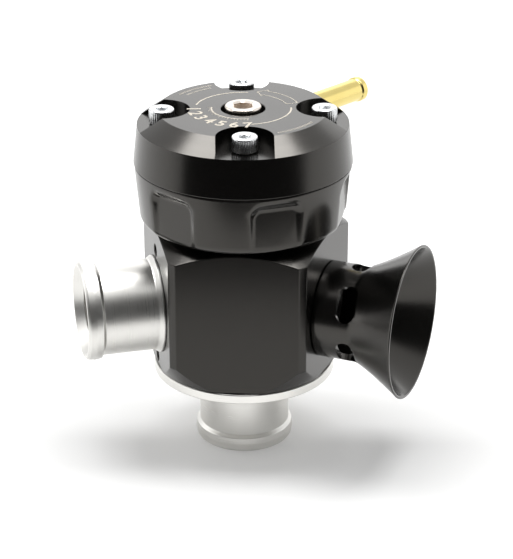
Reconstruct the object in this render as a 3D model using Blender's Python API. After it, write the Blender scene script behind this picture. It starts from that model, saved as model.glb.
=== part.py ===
# Blow off valve: a sprung piston in a turning ported sleeve, with a hose tail and a slotted trumpet.
# Lengths are in metres and +Z is up. The valve stands on the end of its inlet tail.

import math

import bmesh
import bpy
from mathutils import Vector

MM = 0.001

# Clearances
SEAT_GAP = 0.3 * MM
FACE_GAP = 0.2 * MM
TURN_GAP = 0.4 * MM

# Hose tails, shared by the inlet and the return port. The hose's size sets the bore, and the bore sets the rest.
TAIL_RADIUS = 12.7 * MM
TAIL_WALL = 2.1 * MM
BEAD_RISE = 1.2 * MM
BEAD_END_RISE = 0.4 * MM
BEAD_LENGTH = 5.4 * MM
BEAD_CREST = 2.8 * MM
MOUTH_LIP = 2.0 * MM
MOUTH_CHAMFER = 2.6 * MM
RETURN_TAIL_LENGTH = 21.4 * MM
TAIL_COLLAR_RISE = 0.9 * MM
TAIL_COLLAR_LENGTH = 1.6 * MM
PORT_RING_SECTION = 0.7 * MM

# Bias sleeve, one piece with the grip ring
SLEEVE_BORE_STEP = 4.4 * MM
SLEEVE_WALL = 3.0 * MM
SLEEVE_FOOT = 0.8 * MM
WINDOW_SILL = 1.6 * MM
WINDOW_OFFSET = math.radians(34)
WINDOW_ANGLE = math.radians(64)
SLEEVE_RING_RISE = 6.5 * MM
SLEEVE_RING_SECTION = 0.6 * MM
CIRCLIP_STEP = 1.1 * MM
CIRCLIP_THICKNESS = 1.0 * MM
CIRCLIP_GROOVE_DEPTH = 1.3 * MM
CIRCLIP_OPENING = math.radians(36)
GRIP_STEP = 0.2 * MM
GRIP_TAPER = 1.2 * MM
GRIP_FOOT_STEP = 2.0 * MM
GRIP_HEIGHT = 16.2 * MM
GRIP_EDGE_HEIGHT = 2.4 * MM
EDGE_BREAK = 0.3 * MM
SCALLOP_COUNT = 6
SCALLOP_TURN = math.radians(22.4)
SCALLOP_WIDTH = 14.4 * MM
SCALLOP_DEPTH = 2.4 * MM
SCALLOP_TOP = 1.6 * MM
SCALLOP_CORNER = 2.6 * MM
SCALLOP_SIDE_DRAFT = 0.6 * MM
SCALLOP_TOP_DRAFT = 1.8 * MM

# Inlet adaptor and its countersunk M3 screws
INLET_TAIL_LENGTH = 21.6 * MM
FLANGE_THICKNESS = 2.8 * MM
FLANGE_EDGE = 0.4 * MM
FLANGE_LAND = 0.8 * MM
REGISTER_HEIGHT = 3.8 * MM
REGISTER_GROOVE_RISE = 0.7 * MM
REGISTER_RING_SECTION = 0.7 * MM
M3_RADIUS = 1.5 * MM
M3_HEAD_RADIUS = 2.8 * MM
M3_HEAD_HEIGHT = 1.3 * MM
M3_SOCKET = 1.0 * MM
M3_SOCKET_DEPTH = 0.9 * MM
INLET_SCREW_COUNT = 4
INLET_SCREW_TURN = math.radians(45)
INLET_SCREW_LENGTH = 7.6 * MM

# Body, a turned bar with flats
BODY_FOOT_STEP = 0.2 * MM
BODY_FOOT_SPREAD = 4.2 * MM
BODY_FOOT_CONE = 6.6 * MM
BODY_SHOULDER_WALL = 4.4 * MM
BODY_SHOULDER_CONE = 4.5 * MM
BODY_HEAD_WALL = 13.0 * MM
FLAT_COUNT = 5
FLAT_DEPTH = 5.0 * MM
PORT_TURN = math.radians(72)
PORT_WEB = 0.8 * MM
FIXING_HOLE_RADIUS = 1.7 * MM
FIXING_HOLE_WEB = 1.3 * MM

# Trumpet
TRUMPET_STEP = 0.3 * MM
TRUMPET_WALL = 1.7 * MM
TRUMPET_RIM_WALL = 0.9 * MM
TRUMPET_SPIGOT_STEP = 0.8 * MM
TRUMPET_TUBE_LENGTH = 11.4 * MM
TRUMPET_FLARE_LENGTH = 13.2 * MM
TRUMPET_FLARE_RISE = 8.0 * MM
TRUMPET_FLARE_POWER = 1.3
TRUMPET_SLOT_COUNT = 5
TRUMPET_SLOT_TURN = math.radians(36)
TRUMPET_SLOT_DISTANCE = 9.7 * MM
TRUMPET_SLOT_WIDTH = 5.4 * MM
TRUMPET_SLOT_LENGTH = 10.4 * MM

# Cap
CAP_TAPER = 1.2 * MM
CAP_CHAMFER_WIDTH = 7.0 * MM
CAP_HEIGHT = 14.8 * MM
CAP_CHAMFER = 4.0 * MM
CAP_CAVITY_DEPTH = 3.4 * MM
CAP_RING_INSET = 2.4 * MM
CAP_RING_SECTION = 0.65 * MM
CAP_SCREW_COUNT = 4
CAP_SCREW_INSET = 8.0 * MM
CAP_SCREW_TURN = math.radians(5.3)
CAP_SCREW_LENGTH = 16.0 * MM
CAP_NOTCH_ROOM = 4.2 * MM
RECESS_ROOM = 1.0 * MM

# Vacuum nipple
NIPPLE_TURN = math.radians(140)
NIPPLE_DROP = 6.2 * MM
NIPPLE_RADIUS = 3.2 * MM
NIPPLE_WALL = 1.5 * MM
NIPPLE_PROUD = 18.0 * MM
NIPPLE_SHANK = 9.0 * MM
BARB_RISE = 0.4 * MM
BARB_LENGTH = 4.2 * MM
PASSAGE_RADIUS = 1.6 * MM
PASSAGE_INSET = 4.0 * MM

# Screws
M4_RADIUS = 2.0 * MM
M4_HEAD_RADIUS = 3.5 * MM
M4_HEAD_HEIGHT = 4.0 * MM
M4_SOCKET = 1.5 * MM
M6_RADIUS = 3.0 * MM
M6_HEAD_RADIUS = 5.0 * MM
M6_HEAD_HEIGHT = 6.0 * MM
M6_SOCKET = 2.5 * MM
PRELOAD_HEAD_PROUD = 1.0 * MM
PRELOAD_TRAVEL = 3.0 * MM
PRELOAD_DIMPLE = 0.9 * MM
PRELOAD_DIMPLE_WIDER = 0.5 * MM
TAPPED_HOLE_SPARE = 0.5 * MM

# Piston, spring and spring seat
PISTON_GAP = 0.3 * MM
PISTON_WALL = 2.2 * MM
PISTON_FLOOR = 2.5 * MM
PISTON_LAP = 4.7 * MM
PISTON_RING_SECTION = 0.5 * MM
PISTON_RING_INSET = 2.3 * MM
PISTON_DISH_INSET = 6.2 * MM
PISTON_DISH_DEPTH = 0.8 * MM
PISTON_EDGE = 0.4 * MM
SPRING_WIRE = 1.0 * MM
SPRING_TURN_COUNT = 8
SPRING_SIDE_GAP = 0.5 * MM
SPRING_PLAY = 0.7 * MM
SEAT_THICKNESS = 3.8 * MM
SEAT_SPIGOT_LENGTH = 2.5 * MM
SEAT_SLIDE_GAP = 0.6 * MM

# Facets around each size of round
FINE_COUNT = 48
MIDDLE_COUNT = 32
SMALL_COUNT = 24
TINY_COUNT = 12
RING_COUNT = 5

# Radii that follow from the hose's size, from the bore outwards
TAIL_BORE_RADIUS = TAIL_RADIUS - TAIL_WALL
BEAD_RADIUS = TAIL_RADIUS + BEAD_RISE
BEAD_END_RADIUS = TAIL_RADIUS + BEAD_END_RISE
MOUTH_RADIUS = TAIL_BORE_RADIUS + MOUTH_LIP
TAIL_COLLAR_RADIUS = TAIL_RADIUS + TAIL_COLLAR_RISE
SLEEVE_BORE_RADIUS = TAIL_BORE_RADIUS + SLEEVE_BORE_STEP
SLEEVE_RADIUS = SLEEVE_BORE_RADIUS + SLEEVE_WALL
BODY_BORE_RADIUS = SLEEVE_RADIUS + SEAT_GAP
LEDGE_RADIUS = BODY_BORE_RADIUS + CIRCLIP_STEP
PORT_SEAT_DISTANCE = LEDGE_RADIUS + PORT_WEB
SPIGOT_END = PORT_SEAT_DISTANCE + 2 * PORT_RING_SECTION + 2 * SEAT_GAP
INLET_SCREW_CIRCLE = PORT_SEAT_DISTANCE + SEAT_GAP + M3_RADIUS
FLANGE_RADIUS = INLET_SCREW_CIRCLE + M3_HEAD_RADIUS + FLANGE_LAND
BODY_FOOT_RADIUS = FLANGE_RADIUS + BODY_FOOT_STEP
BODY_RADIUS = BODY_FOOT_RADIUS + BODY_FOOT_SPREAD
BODY_SHOULDER_RADIUS = BODY_BORE_RADIUS + BODY_SHOULDER_WALL
FLAT_DISTANCE = BODY_RADIUS - FLAT_DEPTH
FIXING_HOLE_OFFSET = TAIL_RADIUS + SEAT_GAP + FIXING_HOLE_WEB + FIXING_HOLE_RADIUS
TRUMPET_RADIUS = TAIL_RADIUS + TRUMPET_STEP
TRUMPET_SPIGOT_RADIUS = TRUMPET_RADIUS - TRUMPET_SPIGOT_STEP
TRUMPET_MOUTH_RADIUS = TRUMPET_RADIUS + TRUMPET_FLARE_RISE
TRUMPET_LENGTH = TRUMPET_TUBE_LENGTH + TRUMPET_FLARE_LENGTH
GRIP_RADIUS = BODY_RADIUS - GRIP_STEP
GRIP_LOW_RADIUS = GRIP_RADIUS - GRIP_TAPER
GRIP_FOOT_RADIUS = GRIP_LOW_RADIUS - GRIP_FOOT_STEP
CAP_RADIUS = BODY_RADIUS
CAP_HIGH_RADIUS = CAP_RADIUS - CAP_TAPER
CAP_FACE_RADIUS = CAP_RADIUS - CAP_CHAMFER_WIDTH
CAP_RING_RADIUS = SLEEVE_BORE_RADIUS + CAP_RING_INSET
CAP_SCREW_CIRCLE = CAP_RADIUS - CAP_SCREW_INSET
NIPPLE_BORE_RADIUS = NIPPLE_RADIUS - NIPPLE_WALL
NIPPLE_REACH = CAP_RADIUS + NIPPLE_PROUD
BARB_RADIUS = NIPPLE_RADIUS + BARB_RISE
BARB_END_RADIUS = NIPPLE_RADIUS - BARB_RISE
PASSAGE_OFFSET = SLEEVE_BORE_RADIUS - PASSAGE_INSET
CAP_NOTCH_RADIUS = M4_HEAD_RADIUS + CAP_NOTCH_ROOM
RECESS_RADIUS = M6_HEAD_RADIUS + RECESS_ROOM
PISTON_RADIUS = SLEEVE_BORE_RADIUS - PISTON_GAP
PISTON_INNER_RADIUS = PISTON_RADIUS - PISTON_WALL
PISTON_DISH_RADIUS = PISTON_RADIUS - PISTON_DISH_INSET
SPRING_RADIUS = PISTON_INNER_RADIUS - SPRING_SIDE_GAP - SPRING_WIRE

# Heights that follow from the sizes above
FLANGE_TOP = INLET_TAIL_LENGTH + FLANGE_THICKNESS
BODY_BASE = FLANGE_TOP + FACE_GAP
REGISTER_TOP = FLANGE_TOP + REGISTER_HEIGHT
SLEEVE_END = REGISTER_TOP + TURN_GAP
CIRCLIP_BASE = SLEEVE_END + SLEEVE_FOOT + SEAT_GAP
CIRCLIP_TOP = CIRCLIP_BASE + CIRCLIP_THICKNESS
LEDGE_HEIGHT = CIRCLIP_TOP + SEAT_GAP
PORT_HEIGHT = LEDGE_HEIGHT + WINDOW_SILL + TAIL_BORE_RADIUS
WINDOW_TOP = PORT_HEIGHT + TAIL_BORE_RADIUS
BODY_TOP = WINDOW_TOP + BODY_HEAD_WALL
GRIP_BASE = BODY_TOP + TURN_GAP
GRIP_TOP = GRIP_BASE + GRIP_HEIGHT
CAP_BASE = GRIP_TOP + FACE_GAP
CAP_TOP = CAP_BASE + CAP_HEIGHT
NOTCH_FLOOR = CAP_TOP - CAP_CHAMFER
CAVITY_TOP = CAP_BASE + CAP_CAVITY_DEPTH
NIPPLE_HEIGHT = CAP_TOP - NIPPLE_DROP
PISTON_BASE = REGISTER_TOP + SEAT_GAP
PISTON_TOP = WINDOW_TOP + PISTON_LAP
PISTON_FLOOR_TOP = PISTON_BASE + PISTON_FLOOR
SPRING_SEAT_TOP = CAVITY_TOP - SEAT_GAP
SPRING_SEAT_BASE = SPRING_SEAT_TOP - SEAT_THICKNESS
PRELOAD_HEAD_BASE = CAP_TOP + PRELOAD_HEAD_PROUD - M6_HEAD_HEIGHT
RECESS_FLOOR = PRELOAD_HEAD_BASE - PRELOAD_TRAVEL - TURN_GAP


def clear_scene():
    for old in list(bpy.data.objects):
        bpy.data.objects.remove(old)


def principled(name, color, roughness, metallic):
    material = bpy.data.materials.new(name)
    material.use_nodes = True
    shader = material.node_tree.nodes["Principled BSDF"]
    shader.inputs["Base Color"].default_value = (*color, 1.0)
    shader.inputs["Roughness"].default_value = roughness
    shader.inputs["Metallic"].default_value = metallic
    material.diffuse_color = (*color, 1.0)
    return material


def empty(name, parent=None, turn=0.0, height=0.0, faces_out=False):
    frame = bpy.data.objects.new(name, None)
    bpy.context.collection.objects.link(frame)
    frame.parent = parent
    frame.location.z = height
    tilt = math.pi / 2 if faces_out else 0.0
    frame.rotation_euler = (tilt, 0.0, turn)
    return frame


def add_object(name, data, material, parent):
    piece = bpy.data.objects.new(name, data)
    bpy.context.collection.objects.link(piece)
    piece.parent = parent
    if material is None:
        piece.hide_render = True
        piece.display_type = "WIRE"
    else:
        data.materials.append(material)
    return piece


def solid(name, shape, material, parent):
    bmesh.ops.recalc_face_normals(shape, faces=shape.faces)
    mesh = bpy.data.meshes.new(name)
    shape.to_mesh(mesh)
    shape.free()
    mesh.shade_smooth()
    mesh.set_sharp_from_angle(angle=math.radians(32))
    return add_object(name, mesh, material, parent)


def combine(piece, cutter, operation="DIFFERENCE"):
    step = piece.modifiers.new(operation.title(), "BOOLEAN")
    step.operation = operation
    step.solver = "EXACT"
    step.object = cutter


def spun(outline, segments):
    # outline is a chain of (radius, height), closed unless it starts on the axis
    shape = bmesh.new()
    points = [shape.verts.new((radius, 0.0, height)) for radius, height in outline]
    edges = [shape.edges.new(pair) for pair in zip(points, points[1:])]
    if outline[0][0] > 0.0:
        edges.append(shape.edges.new((points[-1], points[0])))
    bmesh.ops.spin(
        shape,
        geom=points + edges,
        axis=(0.0, 0.0, 1.0),
        cent=(0.0, 0.0, 0.0),
        angle=math.tau,
        steps=segments,
        use_merge=True,
    )
    bmesh.ops.remove_doubles(shape, verts=shape.verts, dist=0.001 * MM)
    return shape


def turned(name, outline, material, parent, segments=FINE_COUNT):
    return solid(name, spun(outline, segments), material, parent)


def cylinder(name, radius, low, high, parent, offset=(0.0, 0.0), segments=TINY_COUNT):
    shape = spun([(0.0, low), (radius, low), (radius, high), (0.0, high)], segments)
    bmesh.ops.translate(shape, verts=shape.verts, vec=(*offset, 0.0))
    return solid(name, shape, None, parent)


def bridged(name, rings, parent):
    # joins rings of as many points each and caps both ends
    shape = bmesh.new()
    loops = []
    for ring in rings:
        points = [shape.verts.new(point) for point in ring]
        loops.append([shape.edges.new(pair) for pair in zip(points, points[1:] + points[:1])])
    for lower, upper in zip(loops, loops[1:]):
        bmesh.ops.bridge_loops(shape, edges=lower + upper)
    bmesh.ops.holes_fill(shape, edges=loops[0], sides=0)
    bmesh.ops.holes_fill(shape, edges=loops[-1], sides=0)
    return solid(name, shape, None, parent)


def arc(centre, radius, start, end, steps):
    points = []
    for index in range(steps + 1):
        angle = start + (end - start) * index / steps
        points.append((centre[0] + radius * math.cos(angle), centre[1] + radius * math.sin(angle)))
    return points


def section_ring(name, centre_radius, height, section_radius, material, parent, segments=SMALL_COUNT):
    outline = arc((centre_radius, height), section_radius, 0.0, -math.tau, RING_COUNT)[:-1]
    return turned(name, outline, material, parent, segments)


def polar(radius, turn):
    # turn is measured from the front flat, -Y, towards +X
    return (radius * math.sin(turn), -radius * math.cos(turn))


def spaced(count, first):
    return [first + math.tau * index / count for index in range(count)]


def hose_end(tip):
    # outside of a hose bead, from the tube towards the tip
    return [
        (TAIL_RADIUS, tip - BEAD_LENGTH),
        (BEAD_RADIUS, tip - BEAD_CREST),
        (BEAD_END_RADIUS, tip),
        (MOUTH_RADIUS, tip),
        (TAIL_BORE_RADIUS, tip - MOUTH_CHAMFER),
    ]


def mirrored_height(outline):
    return [(radius, -height) for radius, height in outline]


def make_body(root, material):
    foot = (BODY_FOOT_RADIUS, BODY_BASE)
    outline = [
        (BODY_BORE_RADIUS, BODY_TOP),
        (BODY_SHOULDER_RADIUS, BODY_TOP),
        (BODY_RADIUS, BODY_TOP - BODY_SHOULDER_CONE),
        (BODY_RADIUS, BODY_BASE + BODY_FOOT_CONE),
        foot,
        (LEDGE_RADIUS, BODY_BASE),
        (LEDGE_RADIUS, LEDGE_HEIGHT),
        (BODY_BORE_RADIUS, LEDGE_HEIGHT),
    ]
    body = turned("valve_body", outline, material, root)
    corner = FLAT_DISTANCE / math.cos(math.pi / FLAT_COUNT)
    turns = spaced(FLAT_COUNT, math.pi / FLAT_COUNT)
    rings = []
    for height in (BODY_BASE - BODY_FOOT_CONE, BODY_TOP + BODY_FOOT_CONE):
        rings.append([(*polar(corner, turn), height) for turn in turns])
    combine(body, bridged("flats_cutter", rings, root), "INTERSECT")
    return body


def cut_port(body, frame, seat_radius):
    # one cutter holds the seat for the spigot and the port that runs on into the bore
    outline = [
        (0.0, BODY_RADIUS + BODY_FOOT_CONE),
        (seat_radius, BODY_RADIUS + BODY_FOOT_CONE),
        (seat_radius, PORT_SEAT_DISTANCE),
        (TAIL_BORE_RADIUS, PORT_SEAT_DISTANCE),
        (TAIL_BORE_RADIUS, 0.0),
        (0.0, 0.0),
    ]
    combine(body, turned(frame.name + "_cutter", outline, None, frame, MIDDLE_COUNT))


def cut_fixing_holes(body, frame):
    for side in (-1, 1):
        cutter = cylinder(
            "fixing_hole_cutter",
            FIXING_HOLE_RADIUS,
            PORT_SEAT_DISTANCE,
            BODY_RADIUS,
            frame,
            (0.0, side * FIXING_HOLE_OFFSET),
        )
        combine(body, cutter)


def cut_screw_holes(piece, circle, turns, radius, low, high, root):
    for turn in turns:
        cutter = cylinder("screw_hole_cutter", radius, low, high, root, polar(circle, turn))
        combine(piece, cutter)


def make_port_ring(name, frame, seat_radius, material):
    centre = (TAIL_BORE_RADIUS + seat_radius) / 2
    height = PORT_SEAT_DISTANCE + SEAT_GAP + PORT_RING_SECTION
    return section_ring(name, centre, height, PORT_RING_SECTION, material, frame)


def make_return_tail(frame, material):
    face = FLAT_DISTANCE + FACE_GAP
    tip = FLAT_DISTANCE + RETURN_TAIL_LENGTH
    collar = face + TAIL_COLLAR_LENGTH
    fillet = TAIL_COLLAR_RADIUS - TAIL_RADIUS
    outline = [(TAIL_BORE_RADIUS, SPIGOT_END), (TAIL_RADIUS - EDGE_BREAK, SPIGOT_END)]
    outline += [(TAIL_RADIUS, SPIGOT_END + EDGE_BREAK), (TAIL_RADIUS, face)]
    outline += [(TAIL_COLLAR_RADIUS, face)]
    outline += arc((TAIL_COLLAR_RADIUS, collar + fillet), fillet, -math.pi / 2, -math.pi, 3)
    outline += hose_end(tip)
    return turned("return_tail", outline, material, frame, MIDDLE_COUNT)


def make_inlet_adaptor(root, material):
    groove_low = FLANGE_TOP + REGISTER_GROOVE_RISE
    groove_high = groove_low + 2 * REGISTER_RING_SECTION + 2 * SEAT_GAP
    register = LEDGE_RADIUS - SEAT_GAP
    groove_floor = register - 2 * REGISTER_RING_SECTION - SEAT_GAP
    outline = [(TAIL_BORE_RADIUS, REGISTER_TOP), (register, REGISTER_TOP)]
    outline += [(register, groove_high), (groove_floor, groove_high)]
    outline += [(groove_floor, groove_low), (register, groove_low)]
    outline += [(register, FLANGE_TOP), (FLANGE_RADIUS - FLANGE_EDGE, FLANGE_TOP)]
    outline += [(FLANGE_RADIUS, FLANGE_TOP - FLANGE_EDGE)]
    outline += [(FLANGE_RADIUS, INLET_TAIL_LENGTH + FLANGE_EDGE)]
    outline += [(FLANGE_RADIUS - FLANGE_EDGE, INLET_TAIL_LENGTH)]
    fillet = TAIL_COLLAR_RADIUS - TAIL_RADIUS
    corner = (TAIL_COLLAR_RADIUS, INLET_TAIL_LENGTH - fillet)
    outline += arc(corner, fillet, math.pi / 2, math.pi, 3)
    outline += mirrored_height(hose_end(0.0))
    adaptor = turned("inlet_adaptor", outline, material, root, MIDDLE_COUNT)
    ring_height = (groove_low + groove_high) / 2
    ring_radius = register - REGISTER_RING_SECTION
    return adaptor, ring_radius, ring_height


def make_inlet_screws(adaptor, body, root, material):
    head_base = INLET_TAIL_LENGTH + FACE_GAP
    tip = head_base + INLET_SCREW_LENGTH
    floor = head_base + M3_HEAD_HEIGHT
    socket_floor = head_base + M3_SOCKET_DEPTH
    turns = spaced(INLET_SCREW_COUNT, INLET_SCREW_TURN)
    hole = M3_RADIUS + SEAT_GAP
    sink_radius = M3_HEAD_RADIUS + SEAT_GAP
    cut_screw_holes(adaptor, INLET_SCREW_CIRCLE, turns, hole, 0.0, BODY_BASE, root)
    hole_end = tip + TAPPED_HOLE_SPARE
    cut_screw_holes(body, INLET_SCREW_CIRCLE, turns, hole, 0.0, hole_end, root)
    sink = [
        (0.0, head_base - M3_HEAD_HEIGHT),
        (sink_radius, head_base - M3_HEAD_HEIGHT),
        (sink_radius, head_base),
        (hole, floor),
        (0.0, floor),
    ]
    outline = [
        (0.0, socket_floor),
        (M3_SOCKET, socket_floor),
        (M3_SOCKET, head_base),
        (M3_HEAD_RADIUS, head_base),
        (M3_RADIUS, floor),
        (M3_RADIUS, tip),
        (0.0, tip),
    ]
    for index, turn in enumerate(turns):
        sink_cutter = turned("countersink_cutter", sink, None, root, TINY_COUNT)
        sink_cutter.location.xy = polar(INLET_SCREW_CIRCLE, turn)
        combine(adaptor, sink_cutter)
        shape = spun(outline, TINY_COUNT)
        make_socket(shape, M3_SOCKET)
        screw = solid(f"inlet_screw_{index + 1}", shape, material, root)
        screw.location.xy = polar(INLET_SCREW_CIRCLE, turn)


def make_socket(shape, flat):
    # presses the round walls of that radius into a hexagon
    sixth = math.tau / 6
    for point in shape.verts:
        radius = math.hypot(point.co.x, point.co.y)
        if abs(radius - flat) < 0.01 * MM:
            angle = math.atan2(point.co.y, point.co.x)
            bend = (angle + sixth / 2) % sixth - sixth / 2
            scale = 1.0 / math.cos(bend)
            point.co.x *= scale
            point.co.y *= scale


def make_trumpet(frame, material):
    face = FLAT_DISTANCE + FACE_GAP
    tube_end = FLAT_DISTANCE + TRUMPET_TUBE_LENGTH
    rim = FLAT_DISTANCE + TRUMPET_LENGTH
    flare = rim - tube_end
    spread = TRUMPET_MOUTH_RADIUS - TRUMPET_RADIUS
    thinning = TRUMPET_WALL - TRUMPET_RIM_WALL
    outline = [(TAIL_BORE_RADIUS, SPIGOT_END), (TRUMPET_SPIGOT_RADIUS, SPIGOT_END)]
    outline += [(TRUMPET_SPIGOT_RADIUS, face), (TRUMPET_RADIUS, face)]
    outer = []
    inner = []
    steps = 6
    for index in range(steps + 1):
        share = index / steps
        radius = TRUMPET_RADIUS + spread * share ** TRUMPET_FLARE_POWER
        height = tube_end + flare * share
        outer.append((radius, height))
        inner.append((radius - TRUMPET_WALL + thinning * share, height))
    outline += outer + inner[::-1]
    outline += [(TRUMPET_RADIUS - TRUMPET_WALL, face), (TAIL_BORE_RADIUS, face)]
    trumpet = turned("trumpet", outline, material, frame, MIDDLE_COUNT)
    for turn in spaced(TRUMPET_SLOT_COUNT, TRUMPET_SLOT_TURN):
        combine(trumpet, slot_cutter(frame, turn))
    return trumpet


def slot_cutter(frame, turn):
    half_width = TRUMPET_SLOT_WIDTH / 2
    straight = TRUMPET_SLOT_LENGTH / 2 - half_width
    right = arc((straight, 0.0), half_width, -math.pi / 2, math.pi / 2, 6)
    left = arc((-straight, 0.0), half_width, math.pi / 2, 3 * math.pi / 2, 6)
    along = Vector((0.0, 0.0, 1.0))
    out = Vector((math.cos(turn), math.sin(turn), 0.0))
    across = along.cross(out)
    centre = along * (FLAT_DISTANCE + TRUMPET_SLOT_DISTANCE)
    rings = []
    for distance in (TRUMPET_RADIUS / 2, TRUMPET_RADIUS * 1.5):
        middle = centre + out * distance
        rings.append([middle + across * x + along * y for x, y in right + left])
    return bridged("slot_cutter", rings, frame)


def make_bias_sleeve(root, material):
    groove = CIRCLIP_GROOVE_DEPTH
    ring_centre = WINDOW_TOP + SLEEVE_RING_RISE
    ring_low = ring_centre - SLEEVE_RING_SECTION - SEAT_GAP
    ring_high = ring_centre + SLEEVE_RING_SECTION + SEAT_GAP
    ring_floor = SLEEVE_RADIUS - 2 * SLEEVE_RING_SECTION - SEAT_GAP
    cap_groove_half = CAP_RING_SECTION + SEAT_GAP
    cap_groove_floor = CAP_BASE - 2 * CAP_RING_SECTION - 2 * SEAT_GAP
    outline = [(SLEEVE_BORE_RADIUS, SLEEVE_END), (SLEEVE_BORE_RADIUS, GRIP_TOP)]
    outline += [(CAP_RING_RADIUS - cap_groove_half, GRIP_TOP)]
    outline += [(CAP_RING_RADIUS - cap_groove_half, cap_groove_floor)]
    outline += [(CAP_RING_RADIUS + cap_groove_half, cap_groove_floor)]
    outline += [(CAP_RING_RADIUS + cap_groove_half, GRIP_TOP)]
    outline += [(GRIP_RADIUS - EDGE_BREAK, GRIP_TOP), (GRIP_RADIUS, GRIP_TOP - EDGE_BREAK)]
    outline += [(GRIP_LOW_RADIUS, GRIP_BASE + GRIP_EDGE_HEIGHT)]
    foot_bulge = (GRIP_LOW_RADIUS - GRIP_FOOT_RADIUS) * math.sin(math.pi / 4)
    outline += [(GRIP_FOOT_RADIUS + foot_bulge, GRIP_BASE + GRIP_EDGE_HEIGHT * (1 - math.cos(math.pi / 4)))]
    outline += [(GRIP_FOOT_RADIUS, GRIP_BASE), (SLEEVE_RADIUS, GRIP_BASE)]
    outline += [(SLEEVE_RADIUS, ring_high), (ring_floor, ring_high)]
    outline += [(ring_floor, ring_low), (SLEEVE_RADIUS, ring_low)]
    outline += [(SLEEVE_RADIUS, LEDGE_HEIGHT), (SLEEVE_RADIUS - groove, LEDGE_HEIGHT)]
    outline += [(SLEEVE_RADIUS - groove, SLEEVE_END + SLEEVE_FOOT)]
    outline += [(SLEEVE_RADIUS, SLEEVE_END + SLEEVE_FOOT), (SLEEVE_RADIUS, SLEEVE_END)]
    sleeve = turned("bias_sleeve", outline, material, root)
    for turn in spaced(SCALLOP_COUNT, SCALLOP_TURN):
        combine(sleeve, scallop_cutter(root, turn))
    for side in (-1, 1):
        combine(sleeve, window_cutter(root, side * (PORT_TURN + WINDOW_OFFSET)))
    return sleeve


def scallop_cutter(root, turn):
    # a pocket with drafted walls and round top corners, open at the foot of the ring
    frame = empty("scallop_frame", root, turn, 0.0, faces_out=True)
    floor = GRIP_RADIUS - SCALLOP_DEPTH
    rings = []
    for distance, spread in ((floor, 0.0), (GRIP_RADIUS + SCALLOP_DEPTH, 2.0)):
        half = SCALLOP_WIDTH / 2 + SCALLOP_SIDE_DRAFT * (spread - 1.0)
        top = GRIP_TOP - SCALLOP_TOP + SCALLOP_TOP_DRAFT * (spread - 1.0)
        side = half - SCALLOP_CORNER
        corner = top - SCALLOP_CORNER
        right = arc((side, corner), SCALLOP_CORNER, 0.0, math.pi / 2, 5)
        left = arc((-side, corner), SCALLOP_CORNER, math.pi / 2, math.pi, 5)
        low = GRIP_BASE - GRIP_EDGE_HEIGHT
        outline = [(half, low)] + right + left + [(-half, low)]
        rings.append([(x, y, distance) for x, y in outline])
    return bridged("scallop_cutter", rings, frame)


def window_cutter(root, turn):
    # a sector of a ring, as high as the ports
    steps = 10
    rings = []
    for height in (WINDOW_TOP, WINDOW_TOP - 2 * TAIL_BORE_RADIUS):
        ring = []
        for radius, direction in ((SLEEVE_BORE_RADIUS - SLEEVE_WALL, 1), (SLEEVE_RADIUS + SLEEVE_WALL, -1)):
            for index in range(steps + 1):
                share = direction * (index / steps - 0.5)
                ring.append((*polar(radius, turn + WINDOW_ANGLE * share), height))
        rings.append(ring)
    return bridged("window_cutter", rings, root)


def make_circlip(root, material):
    inner = SLEEVE_RADIUS - CIRCLIP_GROOVE_DEPTH + SEAT_GAP
    outer = LEDGE_RADIUS - TURN_GAP
    outline = [(inner, CIRCLIP_BASE), (outer, CIRCLIP_BASE), (outer, CIRCLIP_TOP), (inner, CIRCLIP_TOP)]
    circlip = turned("sleeve_circlip", outline, material, root, MIDDLE_COUNT)
    half = CIRCLIP_OPENING / 2
    corners = [(0.0, 0.0), polar(2 * outer, -half), polar(2 * outer, half)]
    rings = []
    for height in (CIRCLIP_BASE - CIRCLIP_THICKNESS, CIRCLIP_TOP + CIRCLIP_THICKNESS):
        rings.append([(*corner, height) for corner in corners])
    combine(circlip, bridged("circlip_cutter", rings, root))
    return circlip


def make_cap(root, material):
    screw_hole = M6_RADIUS + SEAT_GAP
    outline = [
        (SLEEVE_BORE_RADIUS, CAP_BASE),
        (CAP_RADIUS - EDGE_BREAK, CAP_BASE),
        (CAP_RADIUS, CAP_BASE + EDGE_BREAK),
        (CAP_HIGH_RADIUS, NOTCH_FLOOR),
        (CAP_FACE_RADIUS, CAP_TOP),
        (RECESS_RADIUS, CAP_TOP),
        (RECESS_RADIUS, RECESS_FLOOR),
        (screw_hole, RECESS_FLOOR),
        (screw_hole, CAVITY_TOP),
        (SLEEVE_BORE_RADIUS, CAVITY_TOP),
    ]
    cap = turned("cap", outline, material, root)
    turns = spaced(CAP_SCREW_COUNT, CAP_SCREW_TURN)
    for turn in turns:
        combine(cap, notch_cutter(root, turn))
    hole = M4_RADIUS + SEAT_GAP
    cut_screw_holes(cap, CAP_SCREW_CIRCLE, turns, hole, CAVITY_TOP - CAP_HEIGHT, CAP_TOP, root)
    return cap


def notch_cutter(root, turn):
    # a U open outwards, round about its screw
    out = Vector((*polar(1.0, turn), 0.0))
    across = Vector((-out.y, out.x, 0.0))
    end = CAP_RADIUS + CAP_NOTCH_RADIUS
    outline = arc((CAP_SCREW_CIRCLE, 0.0), CAP_NOTCH_RADIUS, math.pi / 2, 3 * math.pi / 2, 14)
    outline += [(end, -CAP_NOTCH_RADIUS), (end, CAP_NOTCH_RADIUS)]
    rings = []
    for height in (NOTCH_FLOOR, CAP_TOP + CAP_CHAMFER):
        up = Vector((0.0, 0.0, height))
        rings.append([out * x + across * y + up for x, y in outline])
    return bridged("notch_cutter", rings, root)


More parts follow.
